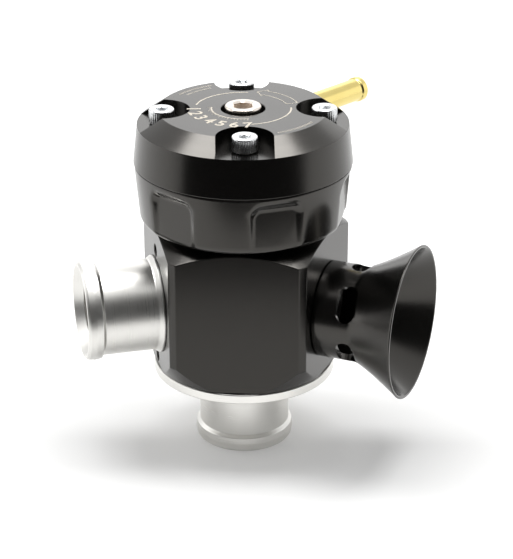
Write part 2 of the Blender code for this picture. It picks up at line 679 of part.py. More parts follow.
def make_socket_screw(name, sizes, base, length, material, parent):
    # sizes are the shank radius, head radius, head height and socket's flat
    shank, head, height, socket = sizes
    top = base + height
    floor = top - height / 2
    outline = [
        (0.0, base - length),
        (shank - EDGE_BREAK, base - length),
        (shank, base - length + EDGE_BREAK),
        (shank, base),
        (head, base),
        (head, top - EDGE_BREAK),
        (head - EDGE_BREAK, top),
        (socket, top),
        (socket, floor),
        (0.0, floor),
    ]
    shape = spun(outline, TINY_COUNT)
    make_socket(shape, socket)
    return solid(name, shape, material, parent)


def make_cap_screws(sleeve, root, material):
    sizes = (M4_RADIUS, M4_HEAD_RADIUS, M4_HEAD_HEIGHT, M4_SOCKET)
    base = NOTCH_FLOOR + FACE_GAP
    turns = spaced(CAP_SCREW_COUNT, CAP_SCREW_TURN)
    for index, turn in enumerate(turns):
        name = f"cap_screw_{index + 1}"
        screw = make_socket_screw(name, sizes, base, CAP_SCREW_LENGTH, material, root)
        screw.location.xy = polar(CAP_SCREW_CIRCLE, turn)
    hole = M4_RADIUS + SEAT_GAP
    low = base - CAP_SCREW_LENGTH - TAPPED_HOLE_SPARE
    cut_screw_holes(sleeve, CAP_SCREW_CIRCLE, turns, hole, low, CAP_TOP, root)


def make_nipple(cap, root, material):
    frame = empty("nipple_frame", root, NIPPLE_TURN, NIPPLE_HEIGHT, faces_out=True)
    inner_end = CAP_HIGH_RADIUS - NIPPLE_SHANK
    barb = NIPPLE_REACH - BARB_LENGTH
    outline = [
        (NIPPLE_BORE_RADIUS, inner_end),
        (NIPPLE_RADIUS, inner_end),
        (NIPPLE_RADIUS, barb - EDGE_BREAK),
        (BARB_RADIUS, barb),
        (BARB_RADIUS, barb + EDGE_BREAK),
        (BARB_END_RADIUS, NIPPLE_REACH),
        (NIPPLE_BORE_RADIUS, NIPPLE_REACH),
    ]
    nipple = turned("vacuum_nipple", outline, material, frame, SMALL_COUNT)
    far = CAP_RADIUS + NIPPLE_SHANK
    seat = cylinder("nipple_seat_cutter", NIPPLE_RADIUS + SEAT_GAP, inner_end - SEAT_GAP, far, frame, segments=SMALL_COUNT)
    inner_stop = PASSAGE_OFFSET - PASSAGE_RADIUS
    passage = cylinder("passage_cutter", PASSAGE_RADIUS, inner_stop, inner_end, frame)
    rise = cylinder("rise_cutter", PASSAGE_RADIUS, CAP_BASE, NIPPLE_HEIGHT, root, polar(PASSAGE_OFFSET, NIPPLE_TURN))
    for cutter in (seat, passage, rise):
        combine(cap, cutter)
    return nipple


def make_piston(root, material):
    section = PISTON_RING_SECTION
    floor_radius = PISTON_RADIUS + PISTON_GAP - TURN_GAP - 2 * section - SEAT_GAP
    half = section + SEAT_GAP
    ring_heights = (PISTON_BASE + PISTON_RING_INSET, PISTON_TOP - PISTON_RING_INSET)
    outline = [(0.0, PISTON_BASE + PISTON_DISH_DEPTH)]
    outline += [(PISTON_DISH_RADIUS - PISTON_DISH_DEPTH, PISTON_BASE + PISTON_DISH_DEPTH)]
    outline += [(PISTON_DISH_RADIUS, PISTON_BASE), (PISTON_RADIUS - PISTON_EDGE, PISTON_BASE)]
    outline += [(PISTON_RADIUS, PISTON_BASE + PISTON_EDGE)]
    for height in ring_heights:
        outline += [(PISTON_RADIUS, height - half), (floor_radius, height - half)]
        outline += [(floor_radius, height + half), (PISTON_RADIUS, height + half)]
    outline += [(PISTON_RADIUS, PISTON_TOP), (PISTON_INNER_RADIUS, PISTON_TOP)]
    outline += [(PISTON_INNER_RADIUS, PISTON_FLOOR_TOP), (0.0, PISTON_FLOOR_TOP)]
    turned("piston", outline, material, root, MIDDLE_COUNT)
    return floor_radius + SEAT_GAP + section, ring_heights


def make_spring(root, material):
    curve = bpy.data.curves.new("piston_spring", "CURVE")
    curve.dimensions = "3D"
    curve.bevel_depth = SPRING_WIRE
    curve.bevel_resolution = 1
    curve.use_fill_caps = True
    low = PISTON_FLOOR_TOP + SEAT_GAP + SPRING_WIRE
    high = SPRING_SEAT_BASE - SEAT_GAP - SPRING_WIRE
    per_turn = 12
    count = SPRING_TURN_COUNT * per_turn
    dead = 2 * SPRING_WIRE + FACE_GAP
    line = curve.splines.new("POLY")
    line.points.add(count)
    for index in range(count + 1):
        turn = index / per_turn
        if turn <= 1:
            height = low + dead * turn
        elif turn >= SPRING_TURN_COUNT - 1:
            height = high - dead * (SPRING_TURN_COUNT - turn)
        else:
            share = (turn - 1) / (SPRING_TURN_COUNT - 2)
            height = low + dead + (high - low - 2 * dead) * share
        angle = math.tau * turn
        line.points[index].co = (SPRING_RADIUS * math.cos(angle), SPRING_RADIUS * math.sin(angle), height, 1.0)
    return add_object("piston_spring", curve, material, root)


def make_spring_seat(root, material):
    tip = SPRING_SEAT_TOP - PRELOAD_DIMPLE
    dimple = M6_RADIUS + PRELOAD_DIMPLE_WIDER
    rim = SLEEVE_BORE_RADIUS - SEAT_SLIDE_GAP
    spigot = SPRING_RADIUS - SPRING_WIRE - SPRING_PLAY
    outline = [
        (0.0, SPRING_SEAT_BASE - SEAT_SPIGOT_LENGTH),
        (spigot - EDGE_BREAK, SPRING_SEAT_BASE - SEAT_SPIGOT_LENGTH),
        (spigot, SPRING_SEAT_BASE - SEAT_SPIGOT_LENGTH + EDGE_BREAK),
        (spigot, SPRING_SEAT_BASE),
        (rim, SPRING_SEAT_BASE),
        (rim, SPRING_SEAT_TOP),
        (dimple, SPRING_SEAT_TOP),
        (dimple, tip),
        (0.0, tip),
    ]
    turned("spring_seat", outline, material, root, SMALL_COUNT)
    return PRELOAD_HEAD_BASE - tip - SEAT_GAP


def stand_on_floor(root):
    # brings the middle of the footprint over the origin; the tail's end is already at zero
    bpy.context.view_layer.update()
    graph = bpy.context.evaluated_depsgraph_get()
    corners = []
    for piece in bpy.data.objects:
        if piece.type == "EMPTY" or piece.hide_render:
            continue
        shown = piece.evaluated_get(graph)
        mesh = shown.to_mesh()
        corners += [shown.matrix_world @ point.co for point in mesh.vertices]
        shown.to_mesh_clear()
    for axis in range(2):
        values = [corner[axis] for corner in corners]
        root.location[axis] = -(min(values) + max(values)) / 2


def main():
    clear_scene()
    black = principled("black_anodised", (0.02, 0.02, 0.02), 0.32, 0.7)
    bright = principled("bright_aluminium", (0.85, 0.84, 0.80), 0.22, 1.0)
    plated = principled("zinc_plate", (0.72, 0.73, 0.74), 0.3, 1.0)
    brass = principled("brass", (0.85, 0.68, 0.32), 0.25, 1.0)
    rubber = principled("rubber", (0.02, 0.02, 0.02), 0.7, 0.0)
    steel = principled("spring_steel", (0.5, 0.5, 0.5), 0.35, 1.0)

    root = empty("valve_axis")
    return_port = empty("return_port", root, -PORT_TURN, PORT_HEIGHT, faces_out=True)
    vent_port = empty("vent_port", root, PORT_TURN, PORT_HEIGHT, faces_out=True)

    body = make_body(root, black)
    return_seat = TAIL_RADIUS + SEAT_GAP
    vent_seat = TRUMPET_SPIGOT_RADIUS + SEAT_GAP
    cut_port(body, return_port, return_seat)
    cut_port(body, vent_port, vent_seat)
    cut_fixing_holes(body, return_port)
    make_return_tail(return_port, bright)
    make_port_ring("return_oring", return_port, return_seat, rubber)
    make_trumpet(vent_port, black)
    make_port_ring("trumpet_oring", vent_port, vent_seat, rubber)

    adaptor, ring_radius, ring_height = make_inlet_adaptor(root, bright)
    section_ring("inlet_oring", ring_radius, ring_height, REGISTER_RING_SECTION, rubber, root)
    make_inlet_screws(adaptor, body, root, plated)

    sleeve = make_bias_sleeve(root, black)
    make_circlip(root, steel)
    sleeve_ring = BODY_BORE_RADIUS - SEAT_GAP - SLEEVE_RING_SECTION
    section_ring("sleeve_oring", sleeve_ring, WINDOW_TOP + SLEEVE_RING_RISE, SLEEVE_RING_SECTION, rubber, root)
    cap = make_cap(root, black)
    cap_ring_height = CAP_BASE - SEAT_GAP - CAP_RING_SECTION
    section_ring("cap_oring", CAP_RING_RADIUS, cap_ring_height, CAP_RING_SECTION, rubber, root)
    make_cap_screws(sleeve, root, plated)
    make_nipple(cap, root, brass)

    piston_ring, ring_heights = make_piston(root, bright)
    for place, height in zip(("lower", "upper"), ring_heights):
        section_ring(f"piston_ring_{place}", piston_ring, height, PISTON_RING_SECTION, rubber, root)
    make_spring(root, steel)
    preload_length = make_spring_seat(root, bright)
    preload_sizes = (M6_RADIUS, M6_HEAD_RADIUS, M6_HEAD_HEIGHT, M6_SOCKET)
    make_socket_screw("preload_screw", preload_sizes, PRELOAD_HEAD_BASE, preload_length, plated, root)
    stand_on_floor(root)


main()
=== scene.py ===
import math

import bmesh
import bpy
import numpy as np
from mathutils import Matrix, Vector


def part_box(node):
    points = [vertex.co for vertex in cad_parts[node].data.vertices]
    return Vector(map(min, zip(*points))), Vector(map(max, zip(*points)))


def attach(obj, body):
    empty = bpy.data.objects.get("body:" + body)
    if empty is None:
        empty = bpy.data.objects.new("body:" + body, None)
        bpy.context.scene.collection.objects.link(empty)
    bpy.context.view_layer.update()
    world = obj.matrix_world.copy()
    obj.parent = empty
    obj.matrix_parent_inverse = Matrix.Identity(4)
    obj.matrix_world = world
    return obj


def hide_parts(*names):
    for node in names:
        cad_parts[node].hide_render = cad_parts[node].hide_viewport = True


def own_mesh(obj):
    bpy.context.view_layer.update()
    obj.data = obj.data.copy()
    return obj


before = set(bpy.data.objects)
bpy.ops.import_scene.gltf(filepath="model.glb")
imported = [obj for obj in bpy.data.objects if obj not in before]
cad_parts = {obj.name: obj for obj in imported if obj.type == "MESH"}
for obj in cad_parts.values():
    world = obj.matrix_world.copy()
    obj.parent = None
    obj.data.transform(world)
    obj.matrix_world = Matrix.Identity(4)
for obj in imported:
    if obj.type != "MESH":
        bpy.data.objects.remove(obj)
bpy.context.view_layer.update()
mm = 0.001
unmoved = Matrix.Identity(4)
capLow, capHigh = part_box("cap")
axisX = (capLow.x + capHigh.x) / 2
axisY = (capLow.y + capHigh.y) / 2
print("frame loaded, valve axis at", round(axisX / mm, 3), round(axisY / mm, 3), "mm")


# Placing and building helpers
def upright(x=0.0, y=0.0, z=0.0):
    return Matrix.Translation((axisX + x * mm, axisY + y * mm, z * mm))


def facing(turn, height):
    # local +Z points out of the valve at that turn from the front flat
    swing = Matrix.Rotation(math.radians(turn), 4, "Z")
    return upright(0, 0, height) @ swing @ Matrix.Rotation(math.pi / 2, 4, "X")


def polar(radius, turn):
    angle = np.radians(turn)
    return radius * np.sin(angle), -radius * np.cos(angle)


def arcPoints(before, corner, after, size, steps):
    corner = np.array(corner, float)
    toBefore = np.array(before, float) - corner
    toAfter = np.array(after, float) - corner
    longBefore, longAfter = np.linalg.norm(toBefore), np.linalg.norm(toAfter)
    toBefore, toAfter = toBefore / longBefore, toAfter / longAfter
    inner = math.acos(max(-1.0, min(1.0, float(toBefore @ toAfter))))
    if size <= 0 or inner > math.radians(174):
        return [tuple(corner)]
    reach = min(size / math.tan(inner / 2), 0.45 * longBefore, 0.45 * longAfter)
    radius = reach * math.tan(inner / 2)
    middle = toBefore + toAfter
    centre = corner + middle / np.linalg.norm(middle) * radius / math.sin(inner / 2)
    start, end = corner + toBefore * reach - centre, corner + toAfter * reach - centre
    first = math.atan2(start[1], start[0])
    sweep = (math.atan2(end[1], end[0]) - first + math.pi) % math.tau - math.pi
    angles = [first + sweep * step / steps for step in range(steps + 1)]
    return [(centre[0] + radius * math.cos(a), centre[1] + radius * math.sin(a)) for a in angles]


def softOutline(points, size=0.15, steps=4, closed=True):
    # points are (radius, height) in mm, with their own rounding as a third number where it differs
    plain = [point[:2] for point in points]
    out = []
    for index, point in enumerate(points):
        own = point[2] if len(point) > 2 else size
        if not closed and index in (0, len(points) - 1):
            out.append(plain[index])
            continue
        out += arcPoints(plain[index - 1], plain[index], plain[(index + 1) % len(plain)], own, steps)
    return out


def meshOf(name, rings, closed=True):
    # rings hold as many points each, in mm, and are joined by quads
    rings = np.array(rings, float) * mm
    rows, count = rings.shape[:2]
    firstRows = np.arange(rows if closed else rows - 1)
    a = firstRows[:, None] * count + np.arange(count)[None, :]
    b = firstRows[:, None] * count + (np.arange(count)[None, :] + 1) % count
    nextRows = ((firstRows + 1) % rows)[:, None] * count
    c = nextRows + (np.arange(count)[None, :] + 1) % count
    d = nextRows + np.arange(count)[None, :]
    faces = np.stack([a, b, c, d], axis=-1).reshape(-1, 4)
    mesh = bpy.data.meshes.new(name)
    mesh.from_pydata(rings.reshape(-1, 3).tolist(), [], faces.tolist())
    shape = bmesh.new()
    shape.from_mesh(mesh)
    bmesh.ops.remove_doubles(shape, verts=shape.verts, dist=0.0004 * mm)
    bmesh.ops.recalc_face_normals(shape, faces=shape.faces)
    shape.to_mesh(mesh)
    shape.free()
    return mesh


def ringAt(radius, height, count):
    angles = np.arange(count) * math.tau / count
    radius = np.broadcast_to(radius, (count,))
    return np.stack([radius * np.cos(angles), radius * np.sin(angles), np.full(count, float(height))], axis=1)


def turnRing(radius, turns, height):
    return np.stack([*polar(radius, turns), np.full(len(turns), height)], axis=1)


def turnedMesh(name, outline, count=160, closed=True):
    return meshOf(name, [ringAt(radius, height, count) for radius, height in outline], closed)


def loftMesh(name, rings):
    # joins a few outlines of as many points each and closes both ends
    shape = bmesh.new()
    loops = [[shape.verts.new(Vector(point) * mm) for point in ring] for ring in rings]
    for lower, upper in zip(loops, loops[1:]):
        for index in range(len(lower)):
            nextOne = (index + 1) % len(lower)
            shape.faces.new((lower[index], lower[nextOne], upper[nextOne], upper[index]))
    shape.faces.new(loops[0][::-1])
    shape.faces.new(loops[-1])
    bmesh.ops.recalc_face_normals(shape, faces=shape.faces)
    mesh = bpy.data.meshes.new(name)
    shape.to_mesh(mesh)
    shape.free()
    return mesh


def joined(name, parts):
    # parts are pairs of mesh and matrix
    shape = bmesh.new()
    for mesh, matrix in parts:
        piece = mesh.copy()
        piece.transform(matrix)
        shape.from_mesh(piece)
    mesh = bpy.data.meshes.new(name)
    shape.to_mesh(mesh)
    shape.free()
    return mesh


def linked(name, mesh, matrix):
    piece = bpy.data.objects.new(name, mesh)
    bpy.context.scene.collection.objects.link(piece)
    piece.matrix_world = matrix
    return piece


def settle(piece):  # applies the modifiers and keeps the result
    bpy.context.view_layer.update()
    graph = bpy.context.evaluated_depsgraph_get()
    final = piece.evaluated_get(graph)
    result = bpy.data.meshes.new_from_object(final, preserve_all_data_layers=True, depsgraph=graph)
    piece.modifiers.clear()
    piece.data = result


def cutBy(piece, mesh, matrix):
    cutter = linked(piece.name + "Cutter", mesh, matrix)
    step = piece.modifiers.new("cut", "BOOLEAN")
    step.operation = "DIFFERENCE"
    step.solver = "EXACT"
    step.object = cutter
    settle(piece)
    bpy.data.objects.remove(cutter)


def breakEdges(piece, width, angle=32, segments=2):
    step = piece.modifiers.new("edges", "BEVEL")
    step.width = width * mm
    step.segments = segments
    step.limit_method = "ANGLE"
    step.angle_limit = math.radians(angle)
    step.use_clamp_overlap = True
    step.miter_outer = "MITER_ARC"
    settle(piece)


def smoothed(piece, angle=38, weighted=True):
    piece.data.shade_smooth()
    piece.data.set_sharp_from_angle(angle=math.radians(angle))
    if weighted:
        step = piece.modifiers.new("normals", "WEIGHTED_NORMAL")
        step.keep_sharp = True
        step.weight = 60
        settle(piece)


def finished(piece, material, body, slotName, *nodes):
    piece.data.materials.clear()
    piece.data.materials.append(material)
    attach(piece, body)
    if nodes:
        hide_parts(*nodes)
    print(piece.name, "made,", len(piece.data.polygons), "faces")
    return piece


# Nodes and finishes
class Nodes:
    def __init__(self, tree):
        self.tree = tree

    def add(self, kind, **settings):
        node = self.tree.nodes.new(kind)
        for key, value in settings.items():
            setattr(node, key, value)
        return node

    def feed(self, socket, value):
        if isinstance(value, bpy.types.NodeSocket):
            self.tree.links.new(value, socket)
        else:
            socket.default_value = value

    def sum(self, kind, first, second=0.0, third=0.0):
        node = self.add("ShaderNodeMath", operation=kind)
        self.feed(node.inputs[0], first)
        self.feed(node.inputs[1], second)
        self.feed(node.inputs[2], third)
        return node.outputs[0]

    def spread(self, value, low, high, toLow=0.0, toHigh=1.0, smooth=True):
        node = self.add("ShaderNodeMapRange", interpolation_type="SMOOTHSTEP" if smooth else "LINEAR")
        for socket, number in zip(node.inputs[:5], (value, low, high, toLow, toHigh)):
            self.feed(socket, number)
        return node.outputs[0]


class Finish(Nodes):
    def __init__(self, name):
        self.material = bpy.data.materials.new(name)
        self.material.use_nodes = True
        super().__init__(self.material.node_tree)
        self.shader = self.tree.nodes["Principled BSDF"]
        self.place = self.add("ShaderNodeTexCoord").outputs["Object"]

    def grain(self, scale, detail=2.0, stretch=(1, 1, 1), roughness=0.5):
        mapping = self.add("ShaderNodeMapping")
        mapping.inputs["Scale"].default_value = stretch
        self.feed(mapping.inputs["Vector"], self.place)
        node = self.add("ShaderNodeTexNoise")
        self.feed(node.inputs["Vector"], mapping.outputs[0])
        node.inputs["Scale"].default_value = scale
        node.inputs["Detail"].default_value = detail
        node.inputs["Roughness"].default_value = roughness
        return node.outputs[0]

    def fromAxis(self):
        # distance from the piece's own axis, then its x and z
        parts = self.add("ShaderNodeSeparateXYZ")
        self.feed(parts.inputs[0], self.place)
        x, y, z = parts.outputs
        squared = self.sum("ADD", self.sum("MULTIPLY", x, x), self.sum("MULTIPLY", y, y))
        return self.sum("SQRT", squared), x, z

    def lathe(self, pitch):
        # rings about the piece's own axis, one noise value for each radius and height
        radius, x, z = self.fromAxis()
        path = self.sum("MULTIPLY_ADD", z, 1.31, radius)
        node = self.add("ShaderNodeTexNoise", noise_dimensions="1D")
        self.feed(node.inputs["W"], self.sum("MULTIPLY", path, 1.0 / (pitch * mm)))
        node.inputs["Scale"].default_value = 1.0
        node.inputs["Detail"].default_value = 3.0
        return node.outputs[0]

    def bump(self, height, depth, strength=1.0, below=None):
        node = self.add("ShaderNodeBump")
        node.inputs["Strength"].default_value = strength
        node.inputs["Distance"].default_value = depth * mm
        self.feed(node.inputs["Height"], height)
        if below is not None:
            self.feed(node.inputs["Normal"], below)
        return node.outputs[0]

    def blend(self, share, first, second):
        node = self.add("ShaderNodeMix", data_type="RGBA")
        self.feed(node.inputs[0], share)
        for socket, value in ((node.inputs[6], first), (node.inputs[7], second)):
            if isinstance(value, tuple):
                value = (*value, 1.0)
            self.feed(socket, value)
        return node.outputs[2]

    def around(self):  # the stretched highlight of a turned face, about the piece's own axis
        tangent = self.add("ShaderNodeTangent", direction_type="RADIAL", axis="Z")
        self.feed(self.shader.inputs["Tangent"], tangent.outputs[0])


def blackAnodised(name, look, turned=True, bareRimHighlight=None):
    finish = Finish(name)
    shader = finish.shader
    shader.inputs["Metallic"].default_value = 0.0
    shader.inputs["IOR"].default_value = look["ior"]
    shader.inputs["Specular Tint"].default_value = (*look["tint"], 1)
    cloud = finish.grain(90, 3)
    fine = finish.grain(2600, 2)
    colour = finish.blend(cloud, look["dark"], look["light"])
    level = finish.sum("MULTIPLY_ADD", cloud, look["patchy"], look["roughness"] - look["patchy"] / 2)
    normal = finish.bump(fine, look["grainDepth"])
    if turned:
        rings = finish.lathe(look["pitch"])
        level = finish.sum("MULTIPLY_ADD", rings, look["ringRoughness"], level)
        normal = finish.bump(rings, look["ringDepth"], below=normal)
        shader.inputs["Anisotropic"].default_value = look["stretch"]
        finish.around()
    if bareRimHighlight:
        # the coating is worn off past that height, in a thin broken line on the near inner lip; the line is partly
        # wear and partly a painted highlight, leaned to the side where the lip catches the light
        radius, x, z = finish.fromAxis()
        inward = finish.sum("SUBTRACT", bareRimHighlight["radius"] * mm, radius)
        reach = finish.sum("MULTIPLY_ADD", inward, bareRimHighlight["lean"], z)
        reach = finish.sum("MULTIPLY_ADD", x, -bareRimHighlight["side"], reach)
        torn = finish.sum("MULTIPLY_ADD", finish.grain(1100, 3), bareRimHighlight["ragged"] * mm, reach)
        torn = finish.sum("MULTIPLY_ADD", finish.grain(160, 1), bareRimHighlight["uneven"] * mm, torn)
        wornHighlight = finish.spread(torn, bareRimHighlight["from"] * mm, (bareRimHighlight["from"] + bareRimHighlight["fade"]) * mm)
        colour = finish.blend(wornHighlight, colour, bareRimHighlight["bare"])
        finish.feed(shader.inputs["Metallic"], wornHighlight)
    finish.feed(shader.inputs["Base Color"], colour)
    finish.feed(shader.inputs["Roughness"], level)
    finish.feed(shader.inputs["Normal"], normal)
    return finish.material


def brightMetal(name, look, turned=True):
    finish = Finish(name)
    shader = finish.shader
    shader.inputs["Metallic"].default_value = 1.0
    cloud = finish.grain(look.get("cloudScale", 120), 3)
    fine = finish.grain(3000, 2)
    level = finish.sum("MULTIPLY_ADD", cloud, look["patchy"], look["roughness"] - look["patchy"] / 2)
    colour = finish.blend(cloud, look["dark"], look["light"])
    normal = finish.bump(fine, look["grainDepth"])
    if turned:
        rings = finish.lathe(look["pitch"])
        level = finish.sum("MULTIPLY_ADD", rings, look["ringRoughness"], level)
        colour = finish.blend(finish.spread(rings, 0.35, 0.7, 0.0, 0.35), colour, look["dark"])
        normal = finish.bump(rings, look["ringDepth"], below=normal)
        shader.inputs["Anisotropic"].default_value = look["stretch"]
        finish.around()
    finish.feed(shader.inputs["Base Color"], colour)
    finish.feed(shader.inputs["Roughness"], level)
    finish.feed(shader.inputs["Normal"], normal)
    return finish.material


def sealRubber(name, look):
    finish = Finish(name)
    cloud = finish.grain(400, 3)
    finish.feed(finish.shader.inputs["Base Color"], finish.blend(cloud, look["dark"], look["light"]))
    finish.feed(finish.shader.inputs["Roughness"], finish.sum("MULTIPLY_ADD", cloud, 0.15, look["roughness"]))
    finish.feed(finish.shader.inputs["Normal"], finish.bump(finish.grain(2500, 2), 0.01))
    return finish.material


anodised = {
    "dark": (0.0026, 0.0026, 0.0025), "light": (0.0052, 0.005, 0.0046), "ior": 1.6, "tint": (1.0, 0.955, 0.89),
    "roughness": 0.17, "patchy": 0.04, "grainDepth": 0.0005,
    "pitch": 0.16, "ringRoughness": 0.05, "ringDepth": 0.0006, "stretch": 0.45,
}
brightAluminium = {
    "dark": (0.70, 0.69, 0.66), "light": (0.83, 0.82, 0.79),
    "roughness": 0.25, "patchy": 0.06, "grainDepth": 0.0004,
    "pitch": 0.2, "ringRoughness": 0.1, "ringDepth": 0.0014, "stretch": 0.55,
}
zincPlate = {
    "dark": (0.60, 0.61, 0.62), "light": (0.80, 0.81, 0.82), "cloudScale": 700,
    "roughness": 0.27, "patchy": 0.12, "grainDepth": 0.002,
}
plainSteel = {
    "dark": (0.62, 0.56, 0.50), "light": (0.80, 0.74, 0.68), "cloudScale": 500,
    "roughness": 0.26, "patchy": 0.1, "grainDepth": 0.0015,
}
turnedBrass = {
    "dark": (0.66, 0.53, 0.18), "light": (0.80, 0.67, 0.27),
    "roughness": 0.17, "patchy": 0.06, "grainDepth": 0.0005,
    "pitch": 0.25, "ringRoughness": 0.08, "ringDepth": 0.001, "stretch": 0.5,
}
springWire = {
    "dark": (0.36, 0.36, 0.37), "light": (0.52, 0.52, 0.53), "cloudScale": 300,
    "roughness": 0.3, "patchy": 0.1, "grainDepth": 0.001,
}
nitrile = {"dark": (0.010, 0.010, 0.010), "light": (0.020, 0.020, 0.020), "roughness": 0.5}

turnedBlack = blackAnodised("turnedBlack", anodised)
milledBlack = blackAnodised("milledBlack", {**anodised, "roughness": 0.22, "ior": 1.52}, turned=False)
# bare-metal line on one side of the trumpet lip: partly wear, partly a painted highlight
rimWornHighlitBlack = blackAnodised("rimWornHighlitBlack", anodised, bareRimHighlight={
    "radius": 20.6, "lean": 0.35, "side": 0.02, "from": 50.68, "fade": 0.08,
    "ragged": 0.3, "uneven": 0.35, "bare": (0.62, 0.60, 0.57),
})
turnedBright = brightMetal("turnedBright", brightAluminium)
zinc = brightMetal("zinc", zincPlate, turned=False)
warmSteel = brightMetal("warmSteel", plainSteel, turned=False)
brass = brightMetal("brass", turnedBrass)
wire = brightMetal("wire", springWire, turned=False)
rubber = sealRubber("rubber", nitrile)
print("finishes ready")


# Body: a turned bar with five flats, cross bored for the two ports
bodySizes = {
    "base": 24.6, "top": 66.8, "radius": 30.0, "flat": 25.0,
    "footRadius": 25.8, "footCone": 6.6, "shoulderRadius": 22.7, "shoulderCone": 4.5,
    "bore": 18.3, "ledgeRadius": 19.4, "ledge": 31.0, "edge": 0.12,
    "tailTurn": -72, "trumpetTurn": 72, "portHeight": 43.2, "tailSeat": 13.0, "trumpetSeat": 12.5,
    "portRadius": 10.6, "seatDistance": 20.2, "fixingHole": 1.7, "fixingSink": 2.4, "fixingOffset": 16.0,
    "screwCircle": 22.0, "firstScrew": 45, "tapRadius": 1.8, "tapTop": 29.9,
}


def softMin(first, second, size):
    gap = np.clip(1 - np.abs(first - second) / size, 0, None)
    return np.minimum(first, second) - gap * gap * size / 4


flatTurns = (0, 72, 144, 216, 288)


def bodyColumns(s):
    # turns of the columns, close together at the upright edges beside each flat
    near = (-1.0, -0.65, -0.4, -0.25, -0.12, 0, 0.12, 0.25, 0.4, 0.65, 1.0)
    half = math.degrees(math.acos(s["flat"] / s["radius"]))
    edges = [(turn + side * half) % 360 for turn in flatTurns for side in (-1, 1)]
    turns = [edge + step for edge in edges for step in near]
    for turn in range(0, 360, 2):
        if min(abs((turn - edge + 180) % 360 - 180) for edge in edges) > 1.6:
            turns.append(turn)
    return np.array(sorted(turn % 360 for turn in turns))


def bodyOuter(s):
    turns = bodyColumns(s)
    flat = np.full(len(turns), 99.0)
    for turn in flatTurns:
        facing = np.cos(np.radians(turns - turn))
        flat = np.minimum(flat, np.where(facing > 0.5, s["flat"] / np.maximum(facing, 0.5), 99.0))
    cap = np.minimum(flat, s["radius"])
    footRise = (s["radius"] - s["footRadius"]) / s["footCone"]
    shoulderFall = (s["radius"] - s["shoulderRadius"]) / s["shoulderCone"]
    low = s["base"] + np.maximum((cap - s["footRadius"]) / footRise, 0.9)
    high = s["top"] - (cap - s["shoulderRadius"]) / shoulderFall
    cluster = np.array([-0.5, -0.25, -0.12, -0.05, 0, 0.05, 0.12, 0.25, 0.5])
    rows = [s["base"] + 0 * turns, s["base"] + 0.05 + 0 * turns, s["base"] + s["edge"] + 0 * turns]
    rows += [s["base"] + 0.2 + (low - 0.5 - s["base"] - 0.2) * share for share in (0, 0.5)]
    rows += [low + step for step in cluster]
    rows += [low + 0.5 + (high - low - 1.0) * share for share in np.linspace(0, 1, 14)[1:-1]]
    rows += [high + step for step in cluster]
    rows += [high + 0.5 + (s["top"] - 0.3 - high - 0.5) * share for share in (0.33, 0.66)]
    rows += [s["top"] - step + 0 * turns for step in (0.3, s["edge"], 0.05, 0)]
    rings = []
    for height in rows:
        foot = s["footRadius"] + (height - s["base"]) * footRise
        shoulder = s["shoulderRadius"] + (s["top"] - height) * shoulderFall
        bar = softMin(softMin(foot, shoulder, 0.2), s["radius"], 0.2)
        radius = softMin(bar, flat, 0.16)
        for reach in (height - s["base"], s["top"] - height):
            radius = radius - np.clip(s["edge"] - reach, 0, None)
        x, y = polar(radius, turns)
        rings.append(np.stack([x, y, height], axis=1))
    return rings, turns


def makeBody(s):
    rings, turns = bodyOuter(s)
    bored = [(s["bore"] + 0.25, s["top"]), (s["bore"], s["top"] - 0.25), (s["bore"], s["ledge"])]
    bored += [(s["ledgeRadius"], s["ledge"]), (s["ledgeRadius"], s["base"] + 0.2)]
    bored.append((s["ledgeRadius"] + 0.2, s["base"]))
    rings += [turnRing(radius, turns, height) for radius, height in bored]
    body = linked("body", meshOf("body", rings), upright())
    cutters = []
    for port in ("tail", "trumpet"):
        seat = s[port + "Seat"]
        outline = [(0, 40), (seat, 40), (seat, s["seatDistance"]), (s["portRadius"], s["seatDistance"])]
        outline += [(s["portRadius"], 12), (0, 12)]
        place = facing(s[port + "Turn"], s["portHeight"])
        cutters.append((turnedMesh("port", outline, 96, closed=False), place))
    for side in (-1, 1):  # two blind tapped holes, countersunk a little
        depth, hole, flat = s["seatDistance"], s["fixingHole"], s["flat"]
        outline = [(0, 40), (s["fixingSink"], 40), (hole + 0.3, flat), (hole, flat - 0.3)]
        outline += [(hole, depth + 0.8), (0, depth)]
        shift = Matrix.Translation((0, side * s["fixingOffset"] * mm, 0))
        place = facing(s["tailTurn"], s["portHeight"]) @ shift
        cutters.append((turnedMesh("hole", outline, 48, closed=False), place))
    for index in range(4):
        x, y = polar(s["screwCircle"], s["firstScrew"] + 90 * index)
        outline = [(0, 20), (s["tapRadius"], 20), (s["tapRadius"], s["tapTop"]), (0, s["tapTop"])]
        cutters.append((turnedMesh("tapped", outline, 24, closed=False), upright(x, y)))
    cutBy(body, joined("bodyCuts", cutters), unmoved)
    smoothed(body)
    return finished(body, milledBlack, "valve", "black_anodised", "valve_body")


body = makeBody(bodySizes)


# Hose tails and the inlet flange
tailSizes = {
    "radius": 12.7, "bore": 10.6, "bead": 13.8, "beadEnd": 13.1, "beadLength": 4.9,
    "mouth": 12.6, "mouthChamfer": 2.6,
}
returnSizes = {"spigotEnd": 22.2, "face": 25.06, "collar": 13.6, "collarLength": 0.5, "fillet": 1.2, "tip": 46.4}
inletSizes = {
    "tailLength": 21.6, "flange": 25.6, "flangeTop": 24.4, "flangeEdge": 0.4, "collar": 13.6,
    "register": 19.1, "registerTop": 28.2, "grooveLow": 25.1, "grooveHigh": 27.1, "grooveFloor": 17.4,
    "screwHole": 1.8, "sink": 3.1,
}


def hoseEnd(s, tip):
    # a short step up from the tube, then a rounded band to the mouth
    return [
        (s["radius"], tip - s["beadLength"], 0.25), (s["bead"] - 0.2, tip - s["beadLength"] + 0.7, 0.4),
        (s["bead"], tip - 2.4, 1.5), (s["bead"] - 0.2, tip - 0.7, 0.5), (s["beadEnd"], tip, 0.3),
        (s["mouth"], tip, 0.2), (s["bore"], tip - s["mouthChamfer"], 0.4),
    ]


